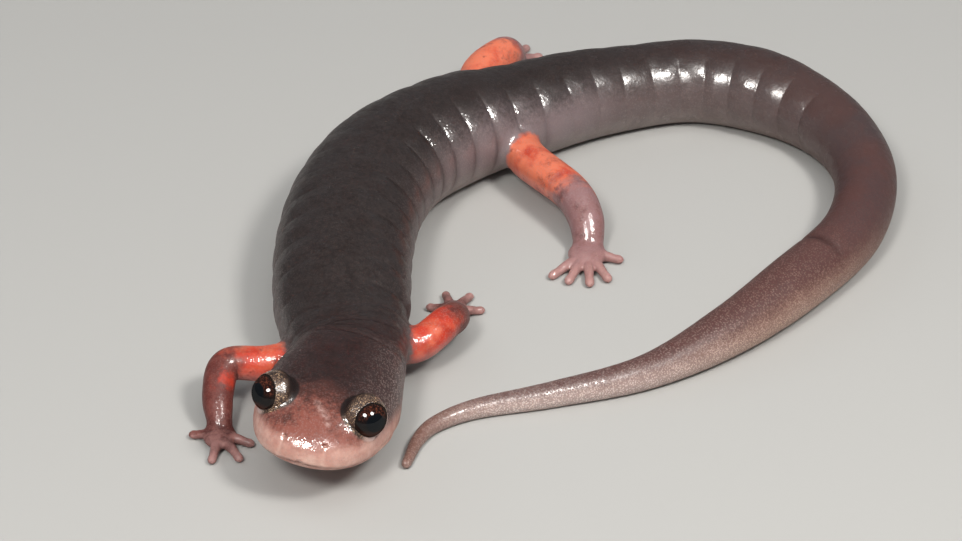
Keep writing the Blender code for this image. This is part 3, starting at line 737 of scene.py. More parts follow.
def head_features(points, along, turn):
    """How far the skin sinks at each point for the head's own lines, and where each of them is."""
    local = into_head(points)
    back = HEAD_LENGTH - local[:, 0]
    mouth = sizes_at(HEAD_SIZES, np.clip(back, 0, HEAD_LENGTH))[:, 2]
    in_head = 1 - eased_step(HEAD_BACK - 1.0, HEAD_BACK, back)
    drop = CORNER_DROP * eased_step(MOUTH_CORNER - 2.4, MOUTH_CORNER, back) ** 2
    off = (local[:, 2] - mouth + drop + MOUTH_DROP * (1 - eased_step(2.0, 6.5, back))) / MOUTH_WIDTH
    lips = np.exp(-off**2) * (1 - eased_step(MOUTH_CORNER - 0.8, MOUTH_CORNER + 0.2, back)) * in_head
    nostrils, grooves, bumps = (np.zeros(len(points)) for _ in range(3))
    for side in (1, -1):
        place = np.array([HEAD_LENGTH - NOSTRIL_BACK, NOSTRIL_OUT * side, NOSTRIL_HIGH])
        away = np.linalg.norm((local - place) * [1.0, 0.7, 1.25], axis=1)
        nostrils += np.exp(-((away / NOSTRIL_WIDTH) ** 2))
        swelling = place + [0.0, SWELLING_OUT * side, -SWELLING_DOWN]
        bumps += np.exp(-((np.linalg.norm(local - swelling, axis=1) / SWELLING_WIDTH) ** 2))
        sideways = local[:, 1] - place[1] * (1 + 0.10 * (place[2] - local[:, 2]))
        below = eased_step(mouth, mouth + 0.2, local[:, 2])
        below *= 1 - eased_step(place[2] - 0.1, place[2], local[:, 2])
        grooves += np.exp(-((sideways / LIP_GROOVE_WIDTH) ** 2)) * below * (back < 2.2)
    folds = np.zeros(len(points))
    for k, (mark, depth) in enumerate(NECK_FOLDS):
        wander = FOLD_WANDER[0] * np.sin(3 * turn + 1.7 * k) + FOLD_WANDER[1] * np.sin(5 * turn - k)
        folds += depth * np.exp(-(((along - mark - wander) / FOLD_WIDTH) ** 2))
    fold_side = np.exp(-(((np.degrees(turn) - TAIL_FOLD_TURN) / TAIL_FOLD_SPREAD) ** 2))
    folds += TAIL_FOLD_DEPTH * np.exp(-(((along - TAIL_FOLD) / TAIL_FOLD_WIDTH) ** 2)) * fold_side
    return lips, nostrils, grooves, folds, bumps


def refined(mesh, chosen):
    """Splits the faces all of whose corners are chosen into four, for finer lines there."""
    work = bmesh.new()
    work.from_mesh(mesh)
    work.verts.ensure_lookup_table()
    edges = [e for e in work.edges if chosen[e.verts[0].index] and chosen[e.verts[1].index]]
    bmesh.ops.subdivide_edges(work, edges=edges, cuts=1, use_grid_fill=True, smooth=0.0)
    work.to_mesh(mesh)
    work.free()


points = positions(skin_mesh)
along, turn, body_gap = place_on_body(points)
lips, nostrils, grooves, folds, bumps = head_features(points, along, turn)
refined(skin_mesh, (lips > 0.02) | (nostrils > 0.001) | (bumps > 0.03))
points = positions(skin_mesh)
along, turn, body_gap = place_on_body(points)
on_body = 1 - eased_step(0.0, 0.35, body_gap)
lips, nostrils, grooves, folds, bumps = head_features(points, along, turn)
sunk = MOUTH_DEPTH * lips + NOSTRIL_DEPTH * nostrils + LIP_GROOVE_DEPTH * grooves + folds * on_body
sunk -= NOSTRIL_LIP * bumps
points = points - normals(skin_mesh) * sunk[:, None]
points[:, 2] = np.maximum(points[:, 2], 0.0)
set_positions(skin_mesh, points)

skin = in_scene("skin", skin_mesh)
triangles = sum(len(p.vertices) - 2 for p in skin_mesh.polygons)
if triangles > TRIANGLE_TARGET:
    thin = skin.modifiers.new("thin", "DECIMATE")
    thin.ratio = TRIANGLE_TARGET / triangles
    skin_mesh = evaluated_mesh(skin)
    skin = in_scene("skin", skin_mesh)


# The colours of the skin: a dark back, grey-mauve flanks and tail, a red-brown snout with pale lips,
# orange-red upper legs and purple-grey feet, and painted shade in the rib furrows, the mouth line,
# nostrils and folds, and at the lids' feet. The masks below say where each of them lies.
def limb_colours(points):
    """How much each point belongs to a leg, and how far down that leg it is, from 0 to 1."""
    _, gaps, which = nearest_of(LIMBS, points)
    hind = np.isin(which, [k for k, name in enumerate(LIMBS) if name.startswith("hind")])
    share = np.zeros(len(points))
    for k, name in enumerate(LIMBS):
        mine = np.flatnonzero(which == k)
        line = limb_lines[name]
        places, marks = line[::3], (marks_along(line) / marks_along(line)[wrists[name]])[::3]
        nearest = ((points[mine, None] - places[None]) ** 2).sum(2).argmin(axis=1)
        past = np.linalg.norm(points[mine] - line[-1], axis=1)
        share[mine] = marks[nearest] + np.where(nearest == len(places) - 1, past / 4, 0)
    return gaps, share, hind


FURROW_SHADE, HOOD_REACH = 0.30, 2.2
ELBOW_PATCH, ELBOW_REACH = (-16.4, -17.1, 2.65), 0.85
LORE_MARK, LORE_REACH = (1.75, 1.50), 0.60
DRY_MARK, DRY_REACH = (1.2, 1.95, 0.75), 0.85
BLAZE_TOP, BLAZE_END, BLAZE_WIDTH = (3.20, 0.02), (1.95, 1.05), 0.13
points = positions(skin_mesh)
along, turn, body_gap = place_on_body(points)
limb_gap, limb_share, on_hind = limb_colours(points)
lips, nostrils, grooves, folds, bumps = head_features(points, along, turn)
local = into_head(points)
back = HEAD_LENGTH - local[:, 0]
dorsal = np.sin(turn)
on_limb = eased_step(-0.30, 0.80, body_gap - limb_gap)
on_head = 1 - eased_step(-1.8, 0.2, along)
mouth_height = sizes_at(HEAD_SIZES, np.clip(back, 0, HEAD_LENGTH))[:, 2]
above_mouth = local[:, 2] - mouth_height
snout = on_head * (1 - eased_step(0.6, 6.6, back + 0.30 * np.abs(local[:, 1]) - 0.4))
above = on_head * (dorsal > -0.2)
lore_side = np.where(local[:, 1] < 0, 0.75, 0.35)
lore_off = np.hypot(back - LORE_MARK[0], np.abs(local[:, 1]) - LORE_MARK[1])
lore = above * lore_side * np.exp(-((lore_off / LORE_REACH) ** 2))
run = np.subtract(BLAZE_END, BLAZE_TOP)
off_run = np.stack([back, local[:, 1]], 1) - BLAZE_TOP
run_share = np.clip(off_run @ run / (run @ run), 0, 1)
blaze = above * np.exp(-((np.linalg.norm(off_run - run_share[:, None] * run, axis=1) / BLAZE_WIDTH) ** 2))
lip_height = above_mouth - 0.10 * np.clip(3 - back, 0, 3) - 0.11 * np.abs(local[:, 1])
lip_pale = on_head * (1 - eased_step(0.0, 1.45, lip_height))
lip_pale *= 1 - 0.65 * eased_step(5.0, 9.5, back)
hood, past_rim, lower_side = np.zeros(len(points)), np.full(len(points), 90.0), np.zeros(len(points))
for eye in EYES.values():
    past, around, away = eye.angles(points)
    near = 1 - eased_step(0.02, 0.32, away - eye.hood_radius(past, around))
    mine = (near > hood) & (away < HOOD_REACH)
    hood, past_rim = np.where(mine, near, hood), np.where(mine, past, past_rim)
    lower_side = np.where(mine, 1 - eye.upper(around), lower_side)
elbow = np.linalg.norm(points - ELBOW_PATCH, axis=1)
dry = np.linalg.norm(local - [HEAD_LENGTH - DRY_MARK[0], DRY_MARK[1], DRY_MARK[2]], axis=1)
# Painted shade: a mask that darkens the skin along each rib furrow.
rib_gap = (COSTAL_LAST - COSTAL_FIRST) / (COSTAL_COUNT - 1)
count = (along - COSTAL_FIRST) / rib_gap
off = np.abs(count - np.clip(np.round(count), 0, COSTAL_COUNT - 1)) * rib_gap
furrow = np.exp(-((off / FURROW_SHADE) ** 2)) * ribbing(along, turn) * (body_gap < 0.5)
cheek = on_head * eased_step(3.2, 5.5, back) * eased_step(0.05, 0.5, dorsal) * np.cos(turn) ** 2
for name, values in {
    "hood": hood, "past_rim": past_rim, "lower_side": lower_side,
    "along": along, "dorsal": dorsal, "under": eased_step(0.40, -0.65, normals(skin_mesh)[:, 2]),
    "legs": on_limb, "leg_share": limb_share, "hind": on_hind,
    "elbow": np.exp(-((elbow / ELBOW_REACH) ** 2)),
    "snout": snout, "lore": lore, "blaze": blaze, "lip": np.clip(lip_pale, 0, 1),
    "dry": 1 - eased_step(DRY_REACH * 0.6, DRY_REACH, dry),
    # Painted shade in the mouth line, the nostrils and the folds of the neck and tail.
    "lines": np.clip(lips * 0.25 + nostrils * 1.2 + folds * 4, 0, 1),
    "pale_lines": np.clip(grooves + bumps, 0, 1), "furrow": furrow,
    "cheek": cheek * np.where(local[:, 1] > 0, 1.0, 0.35),
}.items():
    store(skin_mesh, name, values)
set_positions(skin_mesh, (points - FOOTPRINT_CENTRE) * MM)
skin_mesh.shade_smooth()
skin_mesh.materials.clear()
skin_mesh.materials.append(skin_material)


FLECK_EDGE, FLECK_MIDDLE = 0.52, 0.20


class Shading(Nodes):
    """The same for one material or shader group, with the textures and masks that they use."""

    def __init__(self, material=None, group=None):
        if group:
            super().__init__(group)
            self.source = self.add("NodeGroupInput").outputs
            self.place = self.source["Vector"]
        else:
            material.use_nodes = True
            super().__init__(material.node_tree)
            self.place = self.add("ShaderNodeTexCoord").outputs["Object"]

    def shade(self, inputs):
        """Gives the shader's own sockets their links and values."""
        for name, value in inputs.items():
            self.put(self.tree.nodes["Principled BSDF"].inputs[name], value)

    def attribute(self, name):
        return self.add("ShaderNodeAttribute", attribute_name=name).outputs["Fac"]

    def facing(self):
        return self.add("ShaderNodeLayerWeight").outputs["Facing"]

    def noise(self, scale, detail=4.0, rough=0.55):
        inputs = {"Vector": self.place, "Scale": scale, "Detail": detail, "Roughness": rough}
        return self.add("ShaderNodeTexNoise", inputs).outputs["Fac"]

    def stirred(self, value, noise, amount):
        """The value, moved up and down by a noise taken about its middle."""
        return self.plus(value, self.times(self.minus(noise, 0.5), amount))

    def ramp(self, value, low, high, to_low=0.0, to_high=1.0):
        inputs = {"Value": value, "From Min": low, "From Max": high, "To Min": to_low, "To Max": to_high}
        return self.add("ShaderNodeMapRange", inputs, interpolation_type="SMOOTHSTEP").outputs["Result"]

    def mix(self, share, a, b):
        return self.add("ShaderNodeMix", {0: share, 6: a, 7: b}, data_type="RGBA").outputs[2]

    def group(self, tree, output, inputs):
        return self.add("ShaderNodeGroup", {"Vector": self.place, **inputs}, node_tree=tree).outputs[output]

    def fleck_mask(self, scale, amount):
        """Pin-prick flecks in a skin: 1 on a fleck and 0 between them."""
        cells = self.add("ShaderNodeTexVoronoi", {"Vector": self.place, "Scale": scale})
        size = self.add("ShaderNodeMapRange", {
            "Value": cells.outputs["Distance"], "From Min": FLECK_EDGE, "From Max": FLECK_MIDDLE,
        })
        return self.times(size.outputs["Result"], self.times(self.noise(1400.0, 3.0, 0.5), amount))

    def flecks(self, scale, amount):
        return self.group(FLECKS, "Mask", {"Scale": scale, "Amount": amount})

    def hood(self):
        past_rim, lower_side = self.attribute("past_rim"), self.attribute("lower_side")
        return self.group(HOOD, "Color", {"Past Rim": past_rim, "Lower Side": lower_side})

    def bump(self, height, distance, strength, normal=None):
        inputs = {"Height": height, "Distance": distance, "Strength": strength}
        if normal:
            inputs["Normal"] = normal
        return self.add("ShaderNodeBump", inputs).outputs["Normal"]


def new_group(name, inputs, output, kind):
    """An empty shader group with a place and these numbers as its inputs, and one output."""
    group = bpy.data.node_groups.new(name, "ShaderNodeTree")
    group.interface.new_socket("Vector", in_out="INPUT", socket_type="NodeSocketVector")
    for label in inputs:
        group.interface.new_socket(label, in_out="INPUT", socket_type="NodeSocketFloat")
    group.interface.new_socket(output, in_out="OUTPUT", socket_type="NodeSocket" + kind)
    return Shading(group=group)


LID_DARK, LID_BROWN, LID_GOLD = (0.020, 0.010, 0.0075), (0.070, 0.041, 0.030), (0.70, 0.455, 0.27)
# The dark foot colour is painted shade in the groove where a lid meets the head.
LID_FOOT_SHADE, LID_FOOT_PINK = (0.014, 0.0085, 0.008), (0.115, 0.042, 0.035)
LOWER_LID, LOWER_LID_PINK = (0.16, 0.068, 0.060), (0.30, 0.165, 0.145)
LOWER_LID_EDGE = (0.46, 0.32, 0.29)


def fleck_group():
    """The same flecks as a group, for the colours and bumps of the skin and the lids."""
    f = new_group("pale flecks", ("Scale", "Amount"), "Mask", "Float")
    f.add("NodeGroupOutput", {"Mask": f.fleck_mask(f.source["Scale"], f.source["Amount"])})
    return f.tree


def hood_group():
    """Colours of a lid: grey-brown with gold flecks above, pale pink below, and painted shade at its foot.
    """
    h = new_group("hood tones", ("Past Rim", "Lower Side"), "Color", "Color")
    past, lower = h.source["Past Rim"], h.source["Lower Side"]
    tone = h.mix(h.ramp(h.noise(1900.0, 4.0), 0.36, 0.66), LID_DARK, LID_BROWN)
    gold = h.flecks(9800.0, h.ramp(past, 44.0, 4.0, 0.20, 1.35))
    gold = h.times(gold, h.ramp(h.noise(3400.0, 2.0), 0.40, 0.62, 0.30, 1.0))
    tone = h.mix(h.times(gold, 0.95, True), tone, LID_GOLD)
    # Painted shade round the lid's foot, pink instead on its lower side.
    foot_shade_and_pink = h.mix(h.ramp(lower, 0.22, 0.60), LID_FOOT_SHADE, LID_FOOT_PINK)
    tone = h.mix(h.ramp(past, 20.0, 46.0), tone, foot_shade_and_pink)
    below = h.mix(h.ramp(h.noise(1500.0, 3.0), 0.40, 0.60), LOWER_LID, LOWER_LID_PINK)
    below = h.mix(h.ramp(past, 10.0, 3.0), below, LOWER_LID_EDGE)
    h.add("NodeGroupOutput", {"Color": h.mix(h.ramp(lower, 0.62, 0.90), tone, below)})
    return h.tree


FLECKS = fleck_group()
HOOD = hood_group()
BACK_DARK, BACK_BROWN = (0.0135, 0.0088, 0.0082), (0.024, 0.0162, 0.0150)
CROWN_BLACK, CROWN_PURPLE = (0.0145, 0.0060, 0.0055), (0.025, 0.0082, 0.0072)
FLANK_MAUVE, FLANK_PALE, BELLY_GREY = (0.110, 0.082, 0.080), (0.190, 0.145, 0.150), (0.21, 0.170, 0.158)
TAIL_BROWN, TAIL_MAUVE, TAIL_PALE = (0.076, 0.040, 0.036), (0.158, 0.074, 0.054), (0.50, 0.355, 0.285)
BEND_GREY, BEND_RED = (0.050, 0.040, 0.042), (0.071, 0.038, 0.035)
TAIL_NET, TIP_MAUVE, TAIL_LILAC = (0.095, 0.036, 0.034), (0.150, 0.070, 0.052), (0.62, 0.505, 0.465)
SNOUT_RED, SNOUT_BROWN, BLAZE_PALE = (0.215, 0.066, 0.048), (0.060, 0.0200, 0.0155), (0.46, 0.33, 0.30)
LIP_PINK, LIP_PALE = (0.42, 0.200, 0.160), (0.56, 0.360, 0.300)
LEG_RED, LEG_SALMON, THIGH_SALMON = (0.46, 0.036, 0.015), (0.61, 0.135, 0.070), (0.66, 0.165, 0.088)
LEG_PINK, LEG_SPECK = (0.50, 0.200, 0.175), (0.17, 0.028, 0.022)
FOREARM_RED, SHANK_PURPLE, SHANK_PINK = (0.115, 0.022, 0.016), (0.078, 0.024, 0.022), (0.250, 0.135, 0.140)
FOOT_MAUVE, TOE_PINK, CHEEK_GREY = (0.210, 0.088, 0.078), (0.36, 0.195, 0.180), (0.150, 0.098, 0.092)
FLECK_PALE, FLECK_TAIL, FLECK_THIN = (0.30, 0.225, 0.21), (0.36, 0.235, 0.195), (0.46, 0.360, 0.325)
# Painted shade, for the rib furrows and for the mouth line, nostrils and folds.
FURROW_PAINTED_SHADE, CREASE_PAINTED_SHADE = (0.030, 0.018, 0.018), (0.020, 0.008, 0.008)

# Back, crown and flanks.
s = Shading(skin_material)
dorsal, along = s.attribute("dorsal"), s.attribute("along")
mottle, cloud, grain = s.noise(900.0, 5.0, 0.6), s.noise(260.0, 3.0), s.noise(3300.0, 3.0, 0.6)
mottle_off, grain_off = s.minus(mottle, 0.5), s.minus(grain, 0.5)
height = s.stirred(s.stirred(dorsal, cloud, 0.5), grain, 0.5)
back_mix = s.plus(s.times(mottle_off, 0.35), s.times(grain_off, 1.1))
colour = s.mix(s.ramp(back_mix, -0.22, 0.22), BACK_DARK, BACK_BROWN)
crown_tone = s.mix(s.ramp(back_mix, -0.22, 0.22), CROWN_BLACK, CROWN_PURPLE)
nape = s.stirred(along, cloud, 6.0)
colour = s.mix(s.ramp(nape, 3.5, -3.5), colour, crown_tone)
flank_height = s.minus(height, s.ramp(along, 12.0, 34.0, 0.0, 0.34))
pale_flank = s.times(s.ramp(along, 20.0, 34.0), s.ramp(along, 46.0, 37.0))
flank_tone = s.mix(pale_flank, FLANK_MAUVE, FLANK_PALE)
colour = s.mix(s.ramp(flank_height, 0.62, -0.20), colour, flank_tone)
colour = s.mix(s.ramp(height, 0.0, -0.7), colour, BELLY_GREY)

# Tail.
tail_tone = s.mix(s.ramp(height, 0.85, -0.05), TAIL_BROWN, TAIL_MAUVE)
bend_red = s.plus(s.times(cloud, 1.2), s.times(height, 0.25))
bend_tone = s.mix(s.ramp(bend_red, 0.62, 0.95), BEND_GREY, BEND_RED)
tail_tone = s.mix(s.ramp(along, 87.0, 72.0, 0.0, 0.80), tail_tone, bend_tone)
paling = s.minus(s.times(along, 0.01), s.times(height, 0.42))
tail_pale = s.mix(s.ramp(along, 88.0, 100.0), TAIL_PALE, TAIL_LILAC)
pale_share = s.times(s.ramp(paling, 0.52, 1.05), s.ramp(along, 66.0, 88.0, 0.12, 1.0))
tail_tone = s.mix(pale_share, tail_tone, tail_pale)
network = s.ramp(s.flecks(8600.0, 2.0), 0.55, 0.15, 0.0, 0.52)
tail_tone = s.mix(s.times(network, s.ramp(along, 58.0, 80.0)), tail_tone, TAIL_NET)
tail_tone = s.mix(s.ramp(along, 107.0, 115.0, 0.0, 0.9), tail_tone, TIP_MAUVE)
colour = s.mix(s.ramp(along, 38.0, 72.0), colour, tail_tone)

# Snout and lips.
at_snout = s.attribute("snout")
snout = s.plus(at_snout, s.times(s.plus(s.minus(cloud, 0.5), mottle_off), 0.45))
snout = s.times(snout, s.ramp(at_snout, 0.0, 0.2))
snout = s.minus(snout, s.times(s.attribute("lore"), 0.50))
colour = s.mix(s.ramp(snout, 0.04, 0.50), colour, SNOUT_BROWN)
colour = s.mix(s.ramp(s.stirred(snout, grain, 1.1), 0.34, 1.02), colour, SNOUT_RED)
blaze = s.times(s.attribute("blaze"), s.ramp(grain, 0.36, 0.62, 0.10, 0.75))
colour = s.mix(blaze, colour, BLAZE_PALE)
lip = s.plus(s.attribute("lip"), s.times(s.plus(mottle_off, grain_off), 0.30), True)
colour = s.mix(s.ramp(lip, 0.10, 0.95), colour, s.mix(s.ramp(mottle, 0.30, 0.75), LIP_PINK, LIP_PALE))

# Legs.
legs, leg_share = s.attribute("legs"), s.attribute("leg_share")
hind, under = s.attribute("hind"), s.attribute("under")
salmon = s.plus(s.noise(620.0, 4.0), s.times(hind, 0.14))
salmon_tone = s.mix(hind, LEG_SALMON, THIGH_SALMON)
leg_tone = s.mix(s.ramp(salmon, 0.40, 0.70), LEG_RED, salmon_tone)
leg_tone = s.mix(s.times(under, 0.65), leg_tone, LEG_PINK)
smudge = s.stirred(s.noise(700.0, 5.0, 0.65), grain, 0.12)
blotches = s.times(s.ramp(smudge, 0.52, 0.76), s.ramp(leg_share, 0.25, 0.50))
blotches = s.times(blotches, s.times(hind, 0.8))
specks = s.times(s.ramp(s.noise(1300.0, 2.0), 0.62, 0.76), s.ramp(leg_share, 0.12, 0.35))
specks = s.larger(specks, blotches)
leg_tone = s.mix(specks, leg_tone, LEG_SPECK)
edge = s.stirred(leg_share, s.noise(520.0, 3.0), 0.36)
edge = s.plus(edge, s.minus(0.05, s.times(hind, 0.155)))
paler = s.times(hind, s.ramp(leg_share, 0.55, 0.95, 0.0, 0.16))
shank_mottle = s.plus(s.stirred(mottle, grain, 0.5), paler)
lower_tone = s.mix(s.ramp(shank_mottle, 0.38, 0.64), SHANK_PURPLE, FOOT_MAUVE)
lower_tone = s.mix(s.times(hind, s.ramp(mottle, 0.30, 0.62, 0.35, 0.9)), lower_tone, SHANK_PINK)
fore_red = s.times(s.minus(1.0, hind), s.ramp(leg_share, 1.25, 0.85, 0.0, 0.80))
fore_red = s.times(fore_red, s.ramp(mottle, 0.34, 0.62, 0.70, 1.0))
lower_tone = s.mix(fore_red, lower_tone, FOREARM_RED)
toe_share = s.stirred(leg_share, mottle, 0.9)
lower_tone = s.mix(s.ramp(toe_share, 1.05, 2.00), lower_tone, TOE_PINK)
leg_tone = s.mix(s.ramp(edge, 0.51, 0.65), leg_tone, lower_tone)
patch = s.stirred(s.attribute("elbow"), s.noise(1250.0, 4.0, 0.65), 1.9)
leg_tone = s.mix(s.ramp(patch, 0.30, 0.95, 0.0, 0.78), leg_tone, LEG_RED)
ragged = s.times(s.plus(mottle_off, grain_off), s.ramp(legs, 0.0, 0.3, 0.0, 0.9))
leg_edge = s.minus(legs, s.times(under, s.ramp(leg_share, 0.35, 0.10, 0.0, 0.5)))
colour = s.mix(s.ramp(s.plus(leg_edge, ragged), 0.15, 0.85), colour, leg_tone)

# Flecks, lids, pale lip grooves, and painted shade in the furrows, mouth line, nostrils and folds.
cheek = s.attribute("cheek")
colour = s.mix(s.times(cheek, 0.35), colour, CHEEK_GREY)
fleck_amount = s.times(s.ramp(height, 0.90, 0.1, 0.06, 0.50), s.ramp(along, -3.0, 3.0, 0.35, 1.0))
fleck_amount = s.plus(fleck_amount, s.times(cheek, 1.8))
fleck_amount = s.times(fleck_amount, s.ramp(along, 46.0, 62.0, 1.0, 0.35))
fleck_amount = s.plus(fleck_amount, s.ramp(along, 74.0, 88.0, 0.0, 0.62))
fleck_amount = s.plus(fleck_amount, s.times(at_snout, 0.5))
flecks = s.times(s.flecks(7100.0, fleck_amount), 0.8, True)
tail_fleck = s.mix(s.ramp(along, 88.0, 100.0), FLECK_TAIL, FLECK_THIN)
colour = s.mix(flecks, colour, s.mix(s.ramp(along, 40.0, 80.0), FLECK_PALE, tail_fleck))
# Lid tones near the eyes, with their painted shade at the lids' feet.
colour = s.mix(s.ramp(s.attribute("hood"), 0.15, 0.75), colour, s.hood())
# Painted shade in the rib furrows, deeper on the lower flanks.
furrow = s.times(s.attribute("furrow"), s.ramp(height, 0.75, 0.1, 0.10, 0.60), True)
colour = s.mix(furrow, colour, FURROW_PAINTED_SHADE)
# Painted shade in the mouth line, nostrils and folds.
colour = s.mix(s.times(s.attribute("lines"), 0.9, True), colour, CREASE_PAINTED_SHADE)
colour = s.mix(s.times(s.attribute("pale_lines"), 0.4, True), colour, LIP_PALE)

# The wet film over the skin, thinner where the skin is dry. Its flecks are nodes of this material.
patchy = s.ramp(s.noise(800.0, 2.0), 0.3, 0.6, 0.50, 1.0)
wet = s.times(patchy, s.ramp(s.facing(), 0.35, 0.90, 1.0, 0.15))
dull = s.times(s.ramp(along, 60.0, 72.0), s.ramp(along, 105.0, 98.0, 0.0, 0.94))
dull = s.larger(dull, s.times(s.attribute("dry"), 0.95))
lid_foot = s.times(s.ramp(s.attribute("past_rim"), 22.0, 36.0), s.attribute("hood"))
dull = s.larger(dull, s.times(lid_foot, 0.9))
forearm = s.times(s.ramp(leg_share, 0.50, 0.62), s.minus(1.0, hind))
dull = s.larger(dull, s.times(s.times(forearm, legs), 0.72))
film_rough = s.ramp(s.noise(1100.0, 2.0), 0.35, 0.65, 0.08, 0.22)
film_rough = s.plus(film_rough, s.ramp(along, 62.0, 98.0, 0.0, 0.05))
film_rough = s.plus(film_rough, s.ramp(along, 34.0, 46.0, 0.0, 0.07))
granules = s.bump(s.flecks(7100.0, 1.6), 0.000012, 0.7)
pores = s.bump(s.noise(5200.0, 3.0, 0.6), 0.00003, 0.35, granules)
film = s.bump(s.times(s.fleck_mask(4200.0, 1.6), s.ramp(along, 26.0, 44.0, 1.0, 0.25)), 0.00002, 0.6)
film = s.bump(s.times(s.fleck_mask(7800.0, 2.0), s.ramp(along, 84.0, 98.0)), 0.00015, 1.0, film)
s.shade({
    "Base Color": colour,
    "Roughness": s.ramp(s.noise(2400.0, 3.0), 0.3, 0.7, 0.42, 0.56),
    "Specular IOR Level": 0.10,
    "Subsurface Weight": 0.08,
    "Subsurface Scale": 0.00025,
    "Subsurface Radius": (1.0, 0.45, 0.30),
    "Coat Weight": s.times(wet, s.minus(1.0, dull)),
    "Coat Roughness": film_rough,
    "Coat IOR": 1.42,
    "Normal": s.bump(s.noise(1500.0, 4.0, 0.6), 0.00008, 0.30, pores),
    "Coat Normal": s.bump(s.noise(1500.0, 3.0, 0.6), 0.00010, 0.35, film),
})

flesh = [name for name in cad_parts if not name.startswith("eye")]
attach(skin, "root")
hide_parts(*flesh)


# The eyes: large dark balls that stand out of the head, with a round pupil in a red-brown iris and
# a clear wet front; the red-brown of the upper iris is partly a painted reflection. Each sits in a
# hood of mottled lid, thick above and thin and pale below.
CORNEA_BULGE, CORNEA_REACH = 0.03, 40
LID_STEPS, BALL_STEPS = 30, 72
LID_FOOT, LID_SINK = 75, 0.10


def finished(name, points, faces, material):
    obj = object_from(name, (points - FOOTPRINT_CENTRE) * MM, faces)
    tidy_normals(obj.data)
    obj.data.shade_smooth()
    obj.data.materials.append(material)
    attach(obj, "root")
    return obj


PUPIL_BLACK, EYE_EDGE = (0.0025, 0.0035, 0.0050), (0.009, 0.0065, 0.0055)
IRIS_DARK, IRIS_RED_AND_GLINT = (0.011, 0.0045, 0.0035), (0.135, 0.036, 0.020)
IRIS_MIDDLE, IRIS_LOW = (0.006, 0.0045, 0.0045), (0.034, 0.0095, 0.0055)
eye_material = bpy.data.materials.new("dark eye")
e = Shading(eye_material)
ring, high = e.attribute("iris"), e.attribute("iris_high")
# Reddish-brown flecks, shown only in the upper iris: partly the iris's own colour, partly a painted
# reflection.
iris = e.mix(e.ramp(e.noise(8200.0, 4.0, 0.7), 0.46, 0.72), IRIS_DARK, IRIS_RED_AND_GLINT)
iris = e.mix(e.ramp(high, 0.0, 0.75, 1.0, 0.0), iris, IRIS_MIDDLE)
iris = e.mix(e.ramp(high, -0.45, -1.10), iris, IRIS_LOW)
eye_tone = e.mix(e.ramp(ring, 26.0, 30.0), PUPIL_BLACK, iris)
e.shade({
    "Base Color": e.mix(e.ramp(ring, 50.0, 60.0), eye_tone, EYE_EDGE),
    "Roughness": 0.5,
    "Specular IOR Level": 0.0,
    "Coat Weight": e.ramp(e.facing(), 0.20, 0.75, 1.0, 0.12),
    "Coat Roughness": 0.01,
    "Coat IOR": 1.29,
})

lid_material = bpy.data.materials.new("mottled lid")
l = Shading(lid_material)
l.shade({
    "Base Color": l.hood(),
    "Roughness": l.ramp(l.noise(2600.0, 2.0), 0.3, 0.7, 0.42, 0.56),
    "Specular IOR Level": 0.15,
    "Coat Weight": l.ramp(l.attribute("past_rim"), 22.0, 34.0, 1.0, 0.08),
    "Coat Roughness": 0.14,
    "Coat IOR": 1.4,
    "Normal": l.bump(l.noise(4600.0, 3.0, 0.6), 0.00003, 0.5),
    "Coat Normal": l.bump(l.noise(3200.0, 3.0, 0.6), 0.00010, 0.8),
})

for word, facts in EYES.items():
    around = facts.around
    polar = np.radians(np.linspace(0.5, 179.5, BALL_STEPS))[:, None]
    bulge = 1 + CORNEA_BULGE * np.exp(-((polar / np.radians(CORNEA_REACH)) ** 4))
    ball = facts.dome(polar, EYE_RADIUS * bulge).reshape(-1, 3)
    eye = finished("eyeball_" + word, ball, ring_faces(BALL_STEPS, LID_ROUND), eye_material)
    store(eye.data, "iris", np.repeat(np.degrees(polar[:, 0]), LID_ROUND))
    store(eye.data, "iris_high", (np.sin(polar) * np.sin(around)[None]).ravel() / 0.6)
    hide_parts("eye_" + word)

    # The lid: rings down the hood's outside to its rim, round the rim and back along the inside.
    rim, rounds = facts.rim(around), []
    for past in np.linspace(LID_FOOT, 0, LID_STEPS):
        sunk = LID_SINK * eased_step(LID_REACH * 0.8, LID_REACH * 1.8, past)
        rounds.append((past, rim + np.radians(past), facts.hood_radius(past, around) - sunk))
    for bend in np.radians([30, 60, 90, 120, 150]):
        radius = EYE_RADIUS + RIM_THICKNESS * (0.5 + 0.5 * math.cos(bend))
        rounds.append((0, rim - 0.03 * math.sin(bend), np.full(LID_ROUND, radius)))
    for past in np.linspace(2, LID_FOOT - 3, 8):
        rounds.append((0, rim + np.radians(past), np.full(LID_ROUND, EYE_RADIUS - 0.02)))
    shell = np.concatenate([facts.dome(polar, radius) for _, polar, radius in rounds])
    faces = [tuple(i % len(shell) for i in face) for face in ring_faces(len(rounds) + 1, LID_ROUND)[:-2]]
    lid = finished("lid_" + word, shell, faces, lid_material)
    store(lid.data, "past_rim", np.repeat([past for past, _, _ in rounds], LID_ROUND))
    store(lid.data, "lower_side", np.tile(1 - facts.upper(around), len(rounds)))


# The floor, lights and camera: a plain pale floor, a large soft light overhead and two small ones
# beside the camera, which give the wet skin its bright flashes and each eye its pair of glints.
floor = object_from("floor", [(-2, -2, 0), (2, -2, 0), (2, 2, 0), (-2, 2, 0)], [(0, 1, 2, 3)])
floor.location.z = -0.00002
floor_material = bpy.data.materials.new("pale floor")
floor_material.use_nodes = True
floor_shader = floor_material.node_tree.nodes["Principled BSDF"]
floor_shader.inputs["Base Color"].default_value = (0.37, 0.368, 0.357, 1)
floor_shader.inputs["Roughness"].default_value = 0.8
floor.data.materials.append(floor_material)

CAMERA_TILT, CAMERA_DISTANCE = 33.0, 0.240
SENSOR_WIDTH, FOCAL_PIXELS, IMAGE_WIDTH = 36.0, 3504.0, 962.0
aim = Vector(-FOOTPRINT_CENTRE * MM)


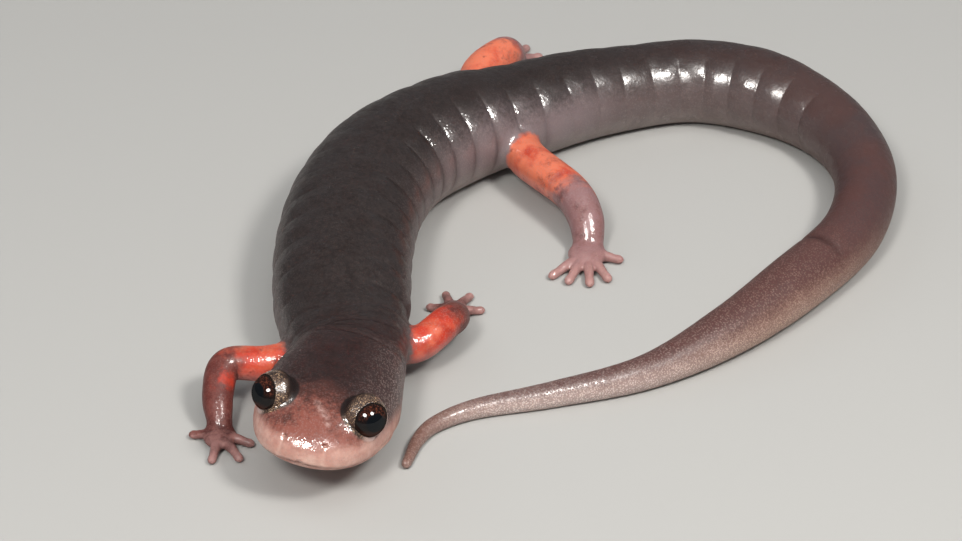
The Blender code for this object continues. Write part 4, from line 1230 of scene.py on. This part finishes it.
def look_from(obj, azimuth, tilt, distance):
    """Puts a lamp or the camera off at this azimuth and height, in degrees, and turns it to the model."""
    a, t = math.radians(azimuth), math.radians(tilt)
    way = Vector((math.sin(a) * math.cos(t), -math.cos(a) * math.cos(t), math.sin(t)))
    obj.location = aim + way * distance
    obj.rotation_euler = way.to_track_quat("Z", "Y").to_euler()


def lamp(name, azimuth, tilt, distance, size, power, colour, seen_by):
    """A round lamp that either lights the model or only shows as a gleam in its wet surface."""
    light = bpy.data.lights.new(name, "AREA")
    light.shape = "DISK"
    light.size = size
    light.energy = power
    light.color = colour
    obj = in_scene(name, light)
    look_from(obj, azimuth, tilt, distance)
    obj.visible_diffuse = obj.visible_transmission = seen_by == "diffuse"
    obj.visible_glossy = seen_by == "gloss"


FLASH_LEFT, FLASH_RIGHT = (-20, 46, 0.30), (44, 52, 0.30)
GLEAM_LEFT, GLEAM_RIGHT = (-20, 46, 0.28), (44, 52, 0.28)
WARM, COOL = (1.0, 0.97, 0.93), (0.93, 0.96, 1.0)
lamp("flash left", *FLASH_LEFT, 0.06, 0.50, WARM, "diffuse")
lamp("flash right", *FLASH_RIGHT, 0.06, 0.55, WARM, "diffuse")
lamp("gleam left", *GLEAM_LEFT, 0.09, 1.7, WARM, "gloss")
lamp("gleam right", *GLEAM_RIGHT, 0.09, 2.2, WARM, "gloss")
lamp("overhead", 30, 75, 0.50, 0.45, 0.9, (1.0, 0.98, 0.95), "diffuse")
lamp("fill", -120, 40, 0.60, 0.40, 0.4, COOL, "diffuse")

world = bpy.data.worlds.new("studio")
world.use_nodes = True
sky = world.node_tree.nodes["Background"]
sky.inputs["Color"].default_value = (0.85, 0.88, 0.92, 1)
sky.inputs["Strength"].default_value = 0.25
bpy.context.scene.world = world
bpy.context.scene.view_settings.view_transform = "Standard"

camera = bpy.data.cameras.new("camera")
camera.sensor_width = SENSOR_WIDTH
camera.lens = SENSOR_WIDTH * FOCAL_PIXELS / IMAGE_WIDTH
camera.clip_start = 0.01
camera_object = in_scene("camera", camera)
look_from(camera_object, 0, CAMERA_TILT, CAMERA_DISTANCE)
bpy.context.scene.camera = camera_object
